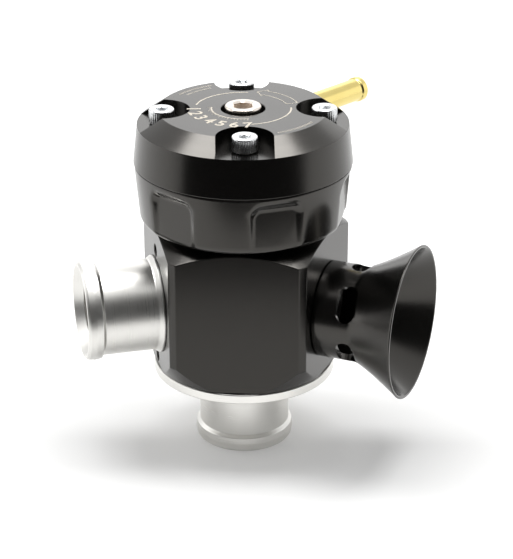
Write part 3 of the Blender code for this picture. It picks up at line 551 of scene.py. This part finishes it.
def makeReturnTail(tail, s):
    outline = [(tail["bore"], s["spigotEnd"]), (tail["radius"], s["spigotEnd"], 0.3), (tail["radius"], s["face"], 0)]
    outline += [(s["collar"], s["face"], 0.1), (s["collar"], s["face"] + s["collarLength"], 0.2)]
    outline += [(tail["radius"] + 0.03, s["face"] + s["collarLength"] + s["fillet"], 1.0)]
    mesh = turnedMesh("returnTail", softOutline(outline + hoseEnd(tail, s["tip"]), 0.15, 6), 192)
    piece = linked("returnTail", mesh, facing(bodySizes["tailTurn"], bodySizes["portHeight"]))
    smoothed(piece)
    return finished(piece, turnedBright, "valve", "bright_aluminium", "return_tail")


def makeInletTail(tail, s):
    fillet = s["collar"] - tail["radius"]
    outline = [(tail["bore"], s["registerTop"], 0.3), (s["register"], s["registerTop"], 0.3)]
    outline += [(s["register"], s["grooveHigh"]), (s["grooveFloor"], s["grooveHigh"])]
    outline += [(s["grooveFloor"], s["grooveLow"]), (s["register"], s["grooveLow"])]
    outline += [(s["register"], s["flangeTop"], 0.1), (s["flange"], s["flangeTop"], s["flangeEdge"])]
    outline += [(s["flange"], s["tailLength"], s["flangeEdge"])]
    outline += [(s["collar"], s["tailLength"], 0.1), (tail["radius"] + 0.03, s["tailLength"] - fillet, 0.6)]
    outline += [(radius, -height, edge) for radius, height, edge in hoseEnd(tail, 0)]
    mesh = turnedMesh("inletTail", softOutline(outline, 0.12, 6), 192)
    piece = linked("inletTail", mesh, upright())
    cutters = []
    for index in range(4):
        x, y = polar(bodySizes["screwCircle"], bodySizes["firstScrew"] + 90 * index)
        seat, top = s["tailLength"] + 0.2, s["tailLength"] + 1.5
        sink = [(0, 19), (s["sink"], 19), (s["sink"], seat), (s["screwHole"], top), (s["screwHole"], 30), (0, 30)]
        cutters.append((turnedMesh("sink", sink, 40, closed=False), upright(x, y)))
    cutBy(piece, joined("sinks", cutters), unmoved)
    smoothed(piece)
    return finished(piece, turnedBright, "valve", "bright_aluminium", "inlet_adaptor")


makeReturnTail(tailSizes, returnSizes)
makeInletTail(tailSizes, inletSizes)


# Trumpet with its five slots
trumpetSizes = {
    "radius": 13.4, "wall": 1.7, "rimWall": 0.9, "spigot": 12.2, "spigotEnd": 22.2, "face": 25.15, "bore": 10.6,
    "tubeEnd": 35.6, "rim": 50.0, "mouth": 21.5, "power": 1.2,
    "slots": 5, "slotDistance": 34.4, "slotWidth": 5.4, "slotLength": 10.4, "slotTurn": 74, "slotEdge": 0.35,
}


def stadium(length, width, steps=14):
    half, straight = width / 2, (length - width) / 2
    points = []
    for side in (1, -1):
        for a in np.linspace(-math.pi / 2, math.pi / 2, steps):
            points.append((side * (straight + half * math.cos(a)), side * half * math.sin(a)))
    return points


def makeTrumpet(s):
    outer, inner = [], []
    for share in np.linspace(0, 1, 22):
        radius = s["radius"] + (s["mouth"] - s["radius"]) * share ** s["power"]
        height = s["tubeEnd"] + (s["rim"] - s["tubeEnd"]) * share
        outer.append((radius, height, 0.3 if share == 1 else 0))
        inner.append((radius - s["wall"] + (s["wall"] - s["rimWall"]) * share, height, 0.35 if share == 1 else 0))
    tube = np.linspace(s["face"] + 1, s["tubeEnd"] - 0.6, 10)
    outline = [(s["bore"], s["spigotEnd"]), (s["spigot"], s["spigotEnd"], 0.3), (s["spigot"], s["face"], 0)]
    outline += [(s["radius"], s["face"], 0.2)] + [(s["radius"], height, 0) for height in tube]
    outline += outer + inner[::-1] + [(s["radius"] - s["wall"], height, 0) for height in tube[::-1]]
    outline += [(s["radius"] - s["wall"], s["face"], 0.1), (s["bore"], s["face"], 0.1)]
    place = facing(bodySizes["trumpetTurn"], bodySizes["portHeight"])
    piece = linked("trumpet", turnedMesh("trumpet", softOutline(outline, 0.15, 4), 192), place)
    cutters = []
    for index in range(s["slots"]):
        turn = math.radians(s["slotTurn"] + 360 / s["slots"] * index)
        out = np.array([math.cos(turn), math.sin(turn), 0])
        across = np.array([-math.sin(turn), math.cos(turn), 0])
        rings = []
        for distance in (6.0, 19.0):
            slot = stadium(s["slotLength"], s["slotWidth"])
            rings.append([out * distance + across * x + np.array([0, 0, s["slotDistance"] + y]) for x, y in slot])
        cutters.append((loftMesh("slot", rings), place))
    cutBy(piece, joined("slots", cutters), unmoved)
    breakEdges(piece, s["slotEdge"], 50, 3)
    smoothed(piece)
    return finished(piece, rimWornHighlitBlack, "valve", "black_anodised", "trumpet")


makeTrumpet(trumpetSizes)


# Bias sleeve: the grip ring with six flat scallops, and the ported tube below it
gripSizes = {
    "base": 67.2, "top": 83.4, "radius": 29.8, "lowRadius": 28.6, "footRadius": 26.6, "footHeight": 2.4,
    "bore": 15.0, "edge": 0.3, "scallops": 6, "firstTurn": 22.4, "floor": 27.4,
    "halfWidth": 6.6, "widen": 0.45, "pocketTop": 80.0, "topRise": 0.75, "corner": 2.6,
    "rimSoft": 1.3, "floorSoft": 1.1, "tapRadius": 2.3, "tapFloor": 78.1,
}
tubeSizes = {
    "bore": 15.0, "radius": 18.0, "low": 28.6, "top": 67.2, "windowLow": 32.6, "windowTop": 53.8,
    "windowTurn": 106, "windowAngle": 64, "grooveLow": 59.4, "grooveHigh": 61.2, "grooveFloor": 16.5,
    "clipLow": 29.4, "clipHigh": 31.0, "clipFloor": 16.7,
}


def strip(inner, outer, first, last, steps):
    # the outline of a curved band between two radii and two turns
    turns = np.linspace(first, last, steps + 1)
    return list(zip(*polar(inner, turns))) + list(zip(*polar(outer, turns[::-1])))


def softMax(first, second, size):
    gap = np.clip(1 - np.abs(first - second) / size, 0, None)
    return np.maximum(first, second) + gap * gap * size / 4


def gripProfile(s, height):
    rise = np.clip((height - s["base"]) / s["footHeight"], 0, 1)
    bulge = s["footRadius"] + (s["lowRadius"] - s["footRadius"]) * np.sqrt(np.clip(1 - (1 - rise) ** 2, 0, 1))
    taper = (height - s["base"] - s["footHeight"]) / (s["top"] - s["base"] - s["footHeight"])
    side = s["lowRadius"] + (s["radius"] - s["lowRadius"]) * np.clip(taper, 0, 1)
    radius = np.where(rise < 1, bulge, side)
    over = np.clip(height - (s["top"] - s["edge"]), 0, s["edge"])
    return radius - (s["edge"] - np.sqrt(s["edge"] ** 2 - over ** 2))


def gripRadius(s, turn, height):
    # outermost radius at each turn and height, with the scallops taken out and their rims rounded
    step = 360 / s["scallops"]
    off = np.radians((turn - s["firstTurn"] + step / 2) % step - step / 2)
    limit = gripProfile(s, height)
    samples = np.linspace(25.5, 30.2, 150)
    before = None
    found = np.full(np.broadcast(off, limit).shape, np.nan)
    for radius in samples:
        out, side = radius * np.cos(off), np.abs(radius * np.sin(off))
        half = s["halfWidth"] + s["widen"] * (out - s["floor"]) - s["corner"]
        top = s["pocketTop"] + s["topRise"] * (out - s["floor"]) - s["corner"]
        x, y = side - half, height - top
        box = np.hypot(np.clip(x, 0, None), np.clip(y, 0, None)) + np.minimum(np.maximum(x, y), 0) - s["corner"]
        pocket = softMax(s["floor"] - out, box, s["floorSoft"])
        value = softMax(radius - limit, -pocket, s["rimSoft"]) + 0 * found
        value = np.where(np.isnan(value), softMax(radius - limit, -pocket, s["rimSoft"]), value)
        if before is not None:
            crossing = np.isnan(found) & (before < 0) & (value >= 0)
            share = np.where(crossing, -before / np.where(crossing, value - before, 1), 0)
            found = np.where(crossing, radius - (samples[1] - samples[0]) * (1 - share), found)
        before = value
    return np.where(np.isnan(found), limit, found)


def makeGrip(s, tube):
    wall = math.degrees(math.atan(s["halfWidth"] / s["floor"]))
    corner = math.degrees(math.atan((s["halfWidth"] - s["corner"]) / s["floor"]))
    side = list(np.linspace(0, corner - 0.5, 6)) + list(np.arange(corner, wall - 1.3, 0.34))
    side += list(np.arange(wall - 1.2, wall - 0.3, 0.15)) + list(np.arange(wall - 0.25, wall + 1.3, 0.09))
    side += list(np.linspace(wall + 1.6, 30, 11))
    turns = []
    for index in range(s["scallops"]):
        centre = s["firstTurn"] + 60 * index
        turns += [centre - step for step in side[::-1]][1:] + [centre + step for step in side[1:]]
    turns = np.array(turns)
    quarter = np.linspace(0, math.pi / 2, 9)
    foot = s["base"] + s["footHeight"] * (1 - np.cos(quarter))
    edge = s["top"] - s["edge"] + s["edge"] * np.sin(quarter[::2])
    side = [np.linspace(70.2, 76.6, 9), np.arange(77.0, 79.4, 0.3), np.arange(79.5, 82.9, 0.13)]
    heights = np.concatenate([foot, *side, edge])
    radius = gripRadius(s, turns[None, :], heights[:, None])
    rings = [turnRing(radius[row], turns, height) for row, height in enumerate(heights)]
    for inner, height in ((s["bore"] + 0.3, s["top"]), (s["bore"], s["top"] - 0.3), (s["bore"], s["base"])):
        rings.append(turnRing(inner, turns, height))
    grip = meshOf("gripRing", rings)
    t = tube
    outline = [(t["bore"], t["top"] - 0.01), (t["bore"], t["low"]), (t["radius"], t["low"])]
    for cut in ("clip", "groove"):
        outline += [(t["radius"], t[cut + "Low"]), (t[cut + "Floor"], t[cut + "Low"])]
        outline += [(t[cut + "Floor"], t[cut + "High"]), (t["radius"], t[cut + "High"])]
    outline.append((t["radius"], t["top"] - 0.01))
    sleeve = linked("sleeveTube", turnedMesh("sleeveTube", outline, 120), upright())
    windows = []
    for side in (-1, 1):
        middle, half = side * t["windowTurn"], t["windowAngle"] / 2
        window = strip(12.0, 21.0, middle - half, middle + half, 23)
        ringPair = [[(x, y, height) for x, y in window] for height in (t["windowLow"], t["windowTop"])]
        windows.append((loftMesh("window", ringPair), upright()))
    cutBy(sleeve, joined("windows", windows), unmoved)
    piece = linked("gripRing", grip, upright())
    holes = []
    for index in range(4):
        outline = [(0, s["tapFloor"]), (s["tapRadius"], s["tapFloor"]), (s["tapRadius"], 90), (0, 90)]
        holes.append((turnedMesh("tapped", outline, 32, closed=False), capScrewPlace(index)))
    cutBy(piece, joined("holes", holes), unmoved)
    piece.data = joined("gripRing", [(piece.data, unmoved), (sleeve.data, unmoved)])
    bpy.data.objects.remove(sleeve)
    smoothed(piece)
    return finished(piece, turnedBlack, "head", "black_anodised", "bias_sleeve")


# Cap with a U notch for each screw
capSizes = {
    "base": 83.6, "top": 98.4, "radius": 30.0, "highRadius": 28.8, "face": 23.0, "notchFloor": 94.4,
    "bore": 15.0, "cavityTop": 87.0, "recess": 6.0, "recessFloor": 90.0, "screwHole": 3.3,
    "screwTurn": 5.3, "screwCircle": 22.0, "notchRadius": 7.7, "screwRadius": 2.3,
    "nippleTurn": 140, "nippleHeight": 92.2, "nippleSeat": 3.5, "edge": 0.14,
}


def capScrewPlace(index):
    return upright(*polar(capSizes["screwCircle"], capSizes["screwTurn"] + 90 * index))


makeGrip(gripSizes, tubeSizes)


def makeCap(s):
    outline = [
        (s["bore"], s["base"], 0), (s["radius"], s["base"], 0.3), (s["highRadius"], s["notchFloor"], 0),
        (s["face"], s["top"], 0), (s["recess"], s["top"], 0.3),
        (s["recess"], s["recessFloor"], 0), (s["screwHole"], s["recessFloor"], 0),
        (s["screwHole"], s["cavityTop"], 0), (s["bore"], s["cavityTop"], 0),
    ]
    piece = linked("topCap", turnedMesh("topCap", softOutline(outline, 0, 4), 192), upright())
    cutters = []
    for index in range(4):
        outX, outY = polar(1, s["screwTurn"] + 90 * index)
        shape = []
        for angle in np.linspace(math.pi / 2, 3 * math.pi / 2, 40):
            shape.append((s["screwCircle"] + s["notchRadius"] * math.cos(angle), s["notchRadius"] * math.sin(angle)))
        shape += [(40, -s["notchRadius"]), (40, s["notchRadius"])]
        rings = []
        for height in (s["notchFloor"], 104):
            rings.append([(outX * x - outY * y, outY * x + outX * y, height) for x, y in shape])
        cutters.append((loftMesh("notch", rings), upright()))
    cutBy(piece, joined("notches", cutters), unmoved)
    drill = [(0, 80), (s["screwRadius"], 80), (s["screwRadius"], 96), (0, 96)]
    drills = [(turnedMesh("drill", drill, 32, closed=False), capScrewPlace(index)) for index in range(4)]
    seat = [(0, 19.5), (s["nippleSeat"], 19.5), (s["nippleSeat"], 40), (0, 40)]
    drills.append((turnedMesh("seat", seat, 48, closed=False), facing(s["nippleTurn"], s["nippleHeight"])))
    cutBy(piece, joined("drills", drills), unmoved)
    breakEdges(piece, s["edge"], 25, 2)
    smoothed(piece, 34)
    return finished(piece, turnedBlack, "head", "black_anodised", "cap")


makeCap(capSizes)


# Screws, with knurled heads and hexagon sockets, each socket left at its own turn
capScrew = {
    "shank": 2.0, "head": 3.5, "height": 4.0, "socket": 1.5, "base": 94.6, "length": 16.0,
    "ridges": 34, "ridgeDepth": 0.13, "edge": 0.45, "turns": (10, 47, 25, 3),
}
middleScrew = {
    "shank": 3.0, "head": 5.0, "height": 6.0, "socket": 2.5, "base": 93.4, "length": 7.3,
    "ridges": 48, "ridgeDepth": 0.14, "edge": 0.6, "turn": 8,
}
flangeScrew = {"shank": 1.5, "head": 2.8, "height": 1.3, "socket": 1.0, "base": 21.8, "length": 7.6, "depth": 0.9}


def hexagon(flat, height, count, turn=0.0):
    angles = np.arange(count) * math.tau / count
    bend = (angles - math.radians(turn) + math.pi / 6) % (math.pi / 3) - math.pi / 6
    radius = flat / np.cos(bend)
    return np.stack([radius * np.cos(angles), radius * np.sin(angles), np.full(count, float(height))], axis=1)


def screwMesh(name, s, turn):
    count = s["ridges"] * 4
    crest = np.tile([1.0, 1.0, 0.0, 0.0], s["ridges"])
    knurl = s["head"] - s["ridgeDepth"] * (1 - crest)
    base, top = s["base"], s["base"] + s["height"]
    rings = [ringAt(0, base - s["length"], count), ringAt(s["shank"] - 0.4, base - s["length"], count)]
    rings += [ringAt(s["shank"], base - s["length"] + 0.4, count), ringAt(s["shank"], base, count)]
    rings += [ringAt(s["head"] - 0.3, base, count), ringAt(s["head"] - 0.08, base + 0.25, count)]
    rings += [ringAt(knurl, base + 0.35, count), ringAt(knurl, top - s["edge"] - 0.2, count)]
    for share in (0, 0.3, 0.6, 0.85, 1.0):  # the head's rounded top edge
        angle = share * math.pi / 2
        fall, drop = s["edge"] * (1 - math.cos(angle)), s["edge"] * (1 - math.sin(angle))
        rings.append(ringAt(s["head"] - 0.03 - fall, top - drop, count))
    wide = s["socket"] * 1.28
    rings += [ringAt(wide + 0.1, top, count), ringAt(wide, top - 0.04, count)]
    for size, depth in ((1, 0.32), (1, s["height"] / 2 - 0.3), (0.8, s["height"] / 2)):
        rings.append(hexagon(s["socket"] * size, top - depth, count, turn))
    rings.append(ringAt(0, top - s["height"] / 2 - 0.2, count))
    return meshOf(name, rings, closed=False)


def makeCapScrews(s):
    for index, turn in enumerate(s["turns"]):
        piece = linked(f"capScrew{index + 1}", screwMesh("capScrew", s, turn), capScrewPlace(index))
        smoothed(piece, 40, weighted=False)
        finished(piece, zinc, "head", "zinc_plate", f"cap_screw_{index + 1}")


def makeMiddleScrew(s):
    piece = linked("middleScrew", screwMesh("middleScrew", s, s["turn"]), upright())
    smoothed(piece, 40, weighted=False)
    return finished(piece, warmSteel, "preload", "zinc_plate", "preload_screw")


def makeFlangeScrews(s):
    count, base = 48, s["base"]
    tip, floor = base + s["length"], base + s["depth"]
    socket = ((0.8, floor), (1, floor - 0.1), (1, base + 0.15))
    outside = (
        (s["socket"] * 1.25, base), (s["head"] - 0.1, base), (s["head"], base + 0.1),
        (s["shank"], base + s["height"] + 0.02), (s["shank"], tip - 0.3), (s["shank"] - 0.3, tip), (0, tip),
    )
    rings = [ringAt(0, floor + 0.2, count)] + [hexagon(s["socket"] * size, height, count) for size, height in socket]
    rings += [ringAt(radius, height, count) for radius, height in outside]
    for index in range(4):
        x, y = polar(bodySizes["screwCircle"], bodySizes["firstScrew"] + 90 * index)
        piece = linked(f"flangeScrew{index + 1}", meshOf("flangeScrew", rings, closed=False), upright(x, y))
        smoothed(piece, 40, weighted=False)
        finished(piece, zinc, "valve", "zinc_plate", f"inlet_screw_{index + 1}")


makeCapScrews(capScrew)
makeMiddleScrew(middleScrew)
makeFlangeScrews(flangeScrew)


# Vacuum nipple
nippleSizes = {
    "radius": 3.2, "bore": 1.7, "start": 19.8, "ring": 45.4, "ringRadius": 3.55, "end": 48.0, "endRadius": 3.0,
}


def makeNipple(s):
    outline = [(s["bore"], s["start"]), (s["radius"], s["start"]), (s["radius"], s["ring"], 0.2)]
    outline += [(s["ringRadius"], s["ring"] + 0.5, 0.4), (s["ringRadius"], s["end"] - 0.5, 0.5)]
    outline += [(s["endRadius"], s["end"], 0.3), (s["bore"], s["end"], 0.25)]
    place = facing(capSizes["nippleTurn"], capSizes["nippleHeight"])
    piece = linked("nipple", turnedMesh("nipple", softOutline(outline, 0.1, 5), 96), place)
    smoothed(piece)
    return finished(piece, brass, "head", "brass", "vacuum_nipple")


makeNipple(nippleSizes)


# Piston and the spring inside the sleeve
pistonSizes = {
    "radius": 14.7, "inner": 12.5, "base": 28.5, "floorTop": 31.0, "top": 58.5,
    "dish": 8.5, "dishDepth": 0.8, "groove": 13.3, "half": 0.8, "inset": 2.3,
}
springSizes = {
    "radius": 11.0, "wire": 1.0, "low": 32.3, "high": 81.6, "turns": 8, "dead": 2.2, "fixedEnd": 82.6, "keep": 0.65,
}


def makePiston(s):
    dished = s["base"] + s["dishDepth"]
    outline = [(0, dished), (s["dish"] - s["dishDepth"], dished, 0.3), (s["dish"], s["base"], 0.2)]
    outline.append((s["radius"], s["base"], 0.4))
    for height in (s["base"] + s["inset"], s["top"] - s["inset"]):
        outline += [(s["radius"], height - s["half"], 0.08), (s["groove"], height - s["half"], 0)]
        outline += [(s["groove"], height + s["half"], 0), (s["radius"], height + s["half"], 0.08)]
    outline += [(s["radius"], s["top"], 0.15), (s["inner"], s["top"], 0.3)]
    outline += [(s["inner"], s["floorTop"], 0.5), (0, s["floorTop"])]
    mesh = turnedMesh("pistonCup", softOutline(outline, 0.1, 4, closed=False), 128, closed=False)
    piece = linked("pistonCup", mesh, upright())
    smoothed(piece)
    return finished(piece, turnedBright, "piston", "bright_aluminium", "piston")


def makeSpring(s):
    perTurn, around = 40, 14
    count = s["turns"] * perTurn
    rings = []
    for index in range(count + 1):
        turn = index / perTurn
        if turn <= 1:
            height = s["low"] + s["dead"] * turn
        elif turn >= s["turns"] - 1:
            height = s["high"] - s["dead"] * (s["turns"] - turn)
        else:
            height = s["low"] + s["dead"] + (s["high"] - s["low"] - 2 * s["dead"]) * (turn - 1) / (s["turns"] - 2)
        angle = math.tau * turn
        out = np.array([math.cos(angle), math.sin(angle), 0])
        centre = out * s["radius"] + np.array([0, 0, height])
        section = []
        for a in np.arange(around) * math.tau / around:
            section.append(centre + out * s["wire"] * math.cos(a) + np.array([0, 0, s["wire"] * math.sin(a)]))
        rings.append(section)
    first, last = ([np.mean(ring, axis=0)] * around for ring in (rings[0], rings[-1]))
    mesh = meshOf("coil", [first] + rings + [last], closed=False)
    piece = linked("coil", mesh, upright())
    smoothed(piece, 50, weighted=False)
    finished(piece, wire, "head", "spring_steel", "piston_spring")
    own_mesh(piece)
    return piece


makePiston(pistonSizes)
makeSpring(springSizes)


# Marks engraved on the cap's top: a circle, numbers, a turning arrow and fine ticks
markSizes = {
    "lift": 0.004, "thickness": 0.02, "line": 0.46, "circle": 13.0, "innerCircle": 8.55,
    "digit": 5.2, "boldness": 0.11, "digitCircle": 13.5, "firstDigit": -84, "digitStep": 15.6,
}


def flatMesh(name, outlines, low, high):
    parts = []
    for outline in outlines:
        rings = [[(x, y, height) for x, y in outline] for height in (low, high)]
        parts.append((loftMesh(name, rings), unmoved))
    return joined(name, parts)


def digitMesh(text, size, boldness):
    curve = bpy.data.curves.new("digit", "FONT")
    curve.body = text
    curve.size = size * mm
    curve.offset = boldness * mm
    curve.align_x = "CENTER"
    curve.align_y = "CENTER"
    curve.extrude = 0.01 * mm
    holder = bpy.data.objects.new("digit", curve)
    bpy.context.scene.collection.objects.link(holder)
    bpy.context.view_layer.update()
    mesh = bpy.data.meshes.new_from_object(holder.evaluated_get(bpy.context.evaluated_depsgraph_get()))
    bpy.data.objects.remove(holder)
    return mesh


def engravedFinish():
    finish = Finish("engraved")
    cloud = finish.grain(1500, 2)
    finish.feed(finish.shader.inputs["Base Color"], finish.blend(cloud, (0.56, 0.51, 0.42), (0.76, 0.70, 0.60)))
    finish.feed(finish.shader.inputs["Roughness"], finish.sum("MULTIPLY_ADD", cloud, 0.15, 0.4))
    finish.shader.inputs["Metallic"].default_value = 0.2
    return finish.material


def makeMarks(s, cap):
    low = cap["top"] + s["lift"]
    high = low + s["thickness"]
    line = s["line"] / 2
    outlines = []
    for radius, half, first, last in (
        (s["circle"], line, 14, 96), (s["circle"], line, 178, 262), (s["innerCircle"], line * 0.8, -92, 14),
    ):
        outlines.append(strip(radius - half, radius + half, first, last, 60))
    for index in range(19):  # fine scale beside the middle screw
        turn = -90 + 102 * index / 18
        tall = 0.95 if index % 3 == 0 else 0.55
        outlines.append(strip(8.7, 8.7 + tall, turn - 0.55, turn + 0.55, 2))
    arrow = [(12.2, 110), (12.2, 158), (11.2, 158), (13.8, 168), (16.4, 158), (15.4, 158), (15.4, 110)]
    outlines += outlined(arrow, 0.28)
    for first, last, radius in ((30, 64, 21.3), (-150, -118, 20.8), (-147, -122, 18.9)):
        for turn in np.arange(first, last, 1.9):
            outlines.append(strip(radius - 0.42, radius + 0.42, turn - 0.33, turn + 0.33, 1))
    parts = [(flatMesh("marks", outlines, low, high), upright())]
    for index in range(7):
        turn = s["firstDigit"] + s["digitStep"] * index
        x, y = polar(s["digitCircle"], turn)
        place = upright(x, y, low + 0.01) @ Matrix.Rotation(math.radians(turn), 4, "Z")
        parts.append((digitMesh(str(index + 1), s["digit"], s["boldness"]), place))
    piece = linked("capMarks", joined("capMarks", parts), unmoved)
    return finished(piece, engravedFinish(), "head", "bright_aluminium")


def outlined(corners, width):
    # a drawn outline around corners of (radius, turn), as short strips
    points = []
    for (r0, t0), (r1, t1) in zip(corners, corners[1:] + corners[:1]):
        steps = max(1, int(abs(t1 - t0) / 3))
        points += [polar(r0 + (r1 - r0) * k / steps, t0 + (t1 - t0) * k / steps) for k in range(steps)]
    strips = []
    for start, end in zip(points, points[1:] + points[:1]):
        along = np.array(end) - np.array(start)
        side = np.array([-along[1], along[0]]) / np.linalg.norm(along) * width / 2
        reach = along / np.linalg.norm(along) * width * 0.2
        a, b = np.array(start) - reach, np.array(end) + reach
        strips.append([tuple(a - side), tuple(b - side), tuple(b + side), tuple(a + side)])
    return strips


makeMarks(markSizes, capSizes)


# Pieces that keep their CAD shape
kept = {
    "inlet_oring": rubber, "return_oring": rubber, "trumpet_oring": rubber, "sleeve_oring": rubber,
    "cap_oring": rubber, "piston_ring_lower": rubber, "piston_ring_upper": rubber,
    "sleeve_circlip": wire, "spring_seat": turnedBright,
}
for name, material in kept.items():
    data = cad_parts[name].data
    for slot in range(max(1, len(data.materials))):
        if len(data.materials) == 0:
            data.materials.append(material)
        data.materials[slot] = material
print("inner pieces given their finishes")


# Studio, in metres
studio = {
    "floorFront": -0.15, "floorWide": 4.0, "floorBack": 4.0, "floorColour": (0.80, 0.80, 0.795), "glowOval": 0.45,
    # the floor's glow grows with distance from the object: painted shade close in, painted light far off
    "floorGlowAndShade": ((0.0, 0.07, 0.2, 0.45), (0.15, 0.8, 0.0, 0.6)),
    "skyWhite": 1.0, "skyDiffuse": 0.25, "frontDark": 0.05, "frontTurn": 4.3, "frontTop": (0.72, 0.84),
    "frontLeft": (-70, -62), "frontRight": (56, 78),
    "overhead": {"at": (-0.05, 0.065, 0.86), "towards": (-0.05, 0.0, 0.06), "size": (0.96, 0.25), "power": 7.2},
    "left": {"at": (-0.85, 0.12, 0.30), "towards": (0.0, 0.0, 0.06), "size": (0.7, 0.7), "power": 1.2},
    "right": {"at": (0.85, 0.10, 0.30), "towards": (0.0, 0.0, 0.06), "size": (0.6, 0.6), "power": 0.5},
    "behind": {"at": (0.05, 0.95, 0.50), "towards": (0.0, 0.0, 0.06), "size": (1.3, 0.6), "power": 2.0},
}


def makeFloor(s):
    x, front, back = s["floorWide"] / 2, s["floorFront"], s["floorBack"]
    mesh = bpy.data.meshes.new("floor")
    mesh.from_pydata([(-x, front, 0), (x, front, 0), (x, back, 0), (-x, back, 0)], [], [(0, 1, 2, 3)])
    floor = linked("floor", mesh, unmoved)
    material = bpy.data.materials.new("paleFloor")
    material.use_nodes = True
    tree = material.node_tree
    tree.nodes.remove(tree.nodes["Principled BSDF"])
    nodes = Nodes(tree)
    paint = nodes.add("ShaderNodeBsdfDiffuse")
    paint.inputs["Color"].default_value = (*s["floorColour"], 1)
    path = nodes.add("ShaderNodeLightPath")
    seen = nodes.sum("MAXIMUM", path.outputs["Is Camera Ray"], path.outputs["Is Glossy Ray"])
    seen = nodes.sum("MAXIMUM", seen, path.outputs["Is Transmission Ray"])
    stretched = nodes.add("ShaderNodeVectorMath", operation="MULTIPLY")  # a wide oval round the object
    nodes.feed(stretched.inputs[0], nodes.add("ShaderNodeTexCoord").outputs["Object"])
    nodes.feed(stretched.inputs[1], (s["glowOval"], 1, 0))
    away = nodes.add("ShaderNodeVectorMath", operation="LENGTH")
    nodes.feed(away.inputs[0], stretched.outputs[0])
    rises = [nodes.spread(away.outputs["Value"], *glow) for glow in s["floorGlowAndShade"]]  # brighter further out: the glow is dimmer close to the object, a painted shade round its base, and brighter far off, a painted light
    glow = nodes.add("ShaderNodeEmission")
    nodes.feed(glow.inputs["Strength"], nodes.sum("MULTIPLY", seen, nodes.sum("ADD", *rises)))
    both = nodes.add("ShaderNodeAddShader")
    nodes.feed(both.inputs[0], paint.outputs[0])
    nodes.feed(both.inputs[1], glow.outputs[0])
    nodes.feed(tree.nodes["Material Output"].inputs["Surface"], both.outputs[0])
    mesh.materials.append(material)
    return floor


def makeSky(s):
    # white all round, with a dark room in front, as the camera's side of the studio is
    world = bpy.data.worlds.new("studioSky")
    bpy.context.scene.world = world
    world.use_nodes = True
    nodes = Nodes(world.node_tree)
    parts = nodes.add("ShaderNodeSeparateXYZ")
    nodes.feed(parts.inputs[0], nodes.add("ShaderNodeTexCoord").outputs["Generated"])
    # turn of the direction from the front, to the right positive
    turn = nodes.sum("ARCTAN2", parts.outputs[0], nodes.sum("MULTIPLY", parts.outputs[1], -1.0))
    left = [math.radians(edge + s["frontTurn"]) for edge in s["frontLeft"]]
    right = [math.radians(edge + s["frontTurn"]) for edge in s["frontRight"]]
    across = nodes.sum("MULTIPLY", nodes.spread(turn, *left, 0, 1), nodes.spread(turn, *right, 1, 0))
    dark = nodes.sum("MULTIPLY", across, nodes.spread(parts.outputs[2], *s["frontTop"], 1, 0))
    level = nodes.sum("MULTIPLY_ADD", dark, s["frontDark"] - s["skyWhite"], s["skyWhite"])
    path = nodes.add("ShaderNodeLightPath")
    crisp = nodes.sum("MAXIMUM", path.outputs["Is Glossy Ray"], path.outputs["Is Transmission Ray"])
    share = nodes.sum("MULTIPLY_ADD", crisp, 1 - s["skyDiffuse"], s["skyDiffuse"])
    camera = path.outputs["Is Camera Ray"]
    unseen = nodes.sum("SUBTRACT", 1.0, camera)
    strength = nodes.sum("MULTIPLY_ADD", nodes.sum("MULTIPLY", level, share), unseen, camera)
    background = world.node_tree.nodes["Background"]
    background.inputs["Color"].default_value = (1, 1, 1, 1)
    nodes.feed(background.inputs["Strength"], strength)
    return world


def makeLamp(name, s):
    light = bpy.data.lights.new(name, "AREA")
    light.shape = "RECTANGLE"
    light.size, light.size_y = s["size"]
    light.energy = s["power"]
    lamp = bpy.data.objects.new(name, light)
    bpy.context.scene.collection.objects.link(lamp)
    lamp.location = s["at"]
    lamp.rotation_mode = "QUATERNION"
    lamp.rotation_quaternion = (Vector(s["towards"]) - Vector(s["at"])).to_track_quat("-Z", "Y")
    return lamp


def makeCamera():
    # the photograph's own place and angle, for a picture of 513 by 559
    away, height, turn, pan, tilt, roll, focal = 510.7, 279.4, 4.3, 0.400, 24.413, -0.078, 2000.0
    data = bpy.data.cameras.new("camera")
    data.sensor_width = 36.0
    data.lens = focal / 559 * 36.0
    data.clip_start, data.clip_end = 0.01, 20.0
    camera = bpy.data.objects.new("camera", data)
    bpy.context.scene.collection.objects.link(camera)
    p, t, r = math.radians(pan), math.radians(tilt), math.radians(roll)
    ahead = Vector((math.sin(p) * math.cos(t), math.cos(p) * math.cos(t), -math.sin(t)))
    right = Vector((math.cos(p), -math.sin(p), 0))
    up = right.cross(ahead)
    rolledRight = right * math.cos(r) + up * math.sin(r)
    rolledUp = up * math.cos(r) - right * math.sin(r)
    x, y = polar(away, turn)
    turned = Matrix.Rotation(math.radians(turn), 3, "Z")
    columns = [turned @ rolledRight, turned @ rolledUp, turned @ -ahead]
    matrix = Matrix(columns).transposed().to_4x4()
    matrix.translation = (axisX + x * mm, axisY + y * mm, height * mm)
    camera.matrix_world = matrix
    bpy.context.scene.camera = camera
    return camera


makeFloor(studio)
makeSky(studio)
for name in ("overhead", "left", "right", "behind"):
    makeLamp(name, studio[name])
makeCamera()
bpy.context.scene.view_settings.view_transform = "Standard"
print("studio ready")
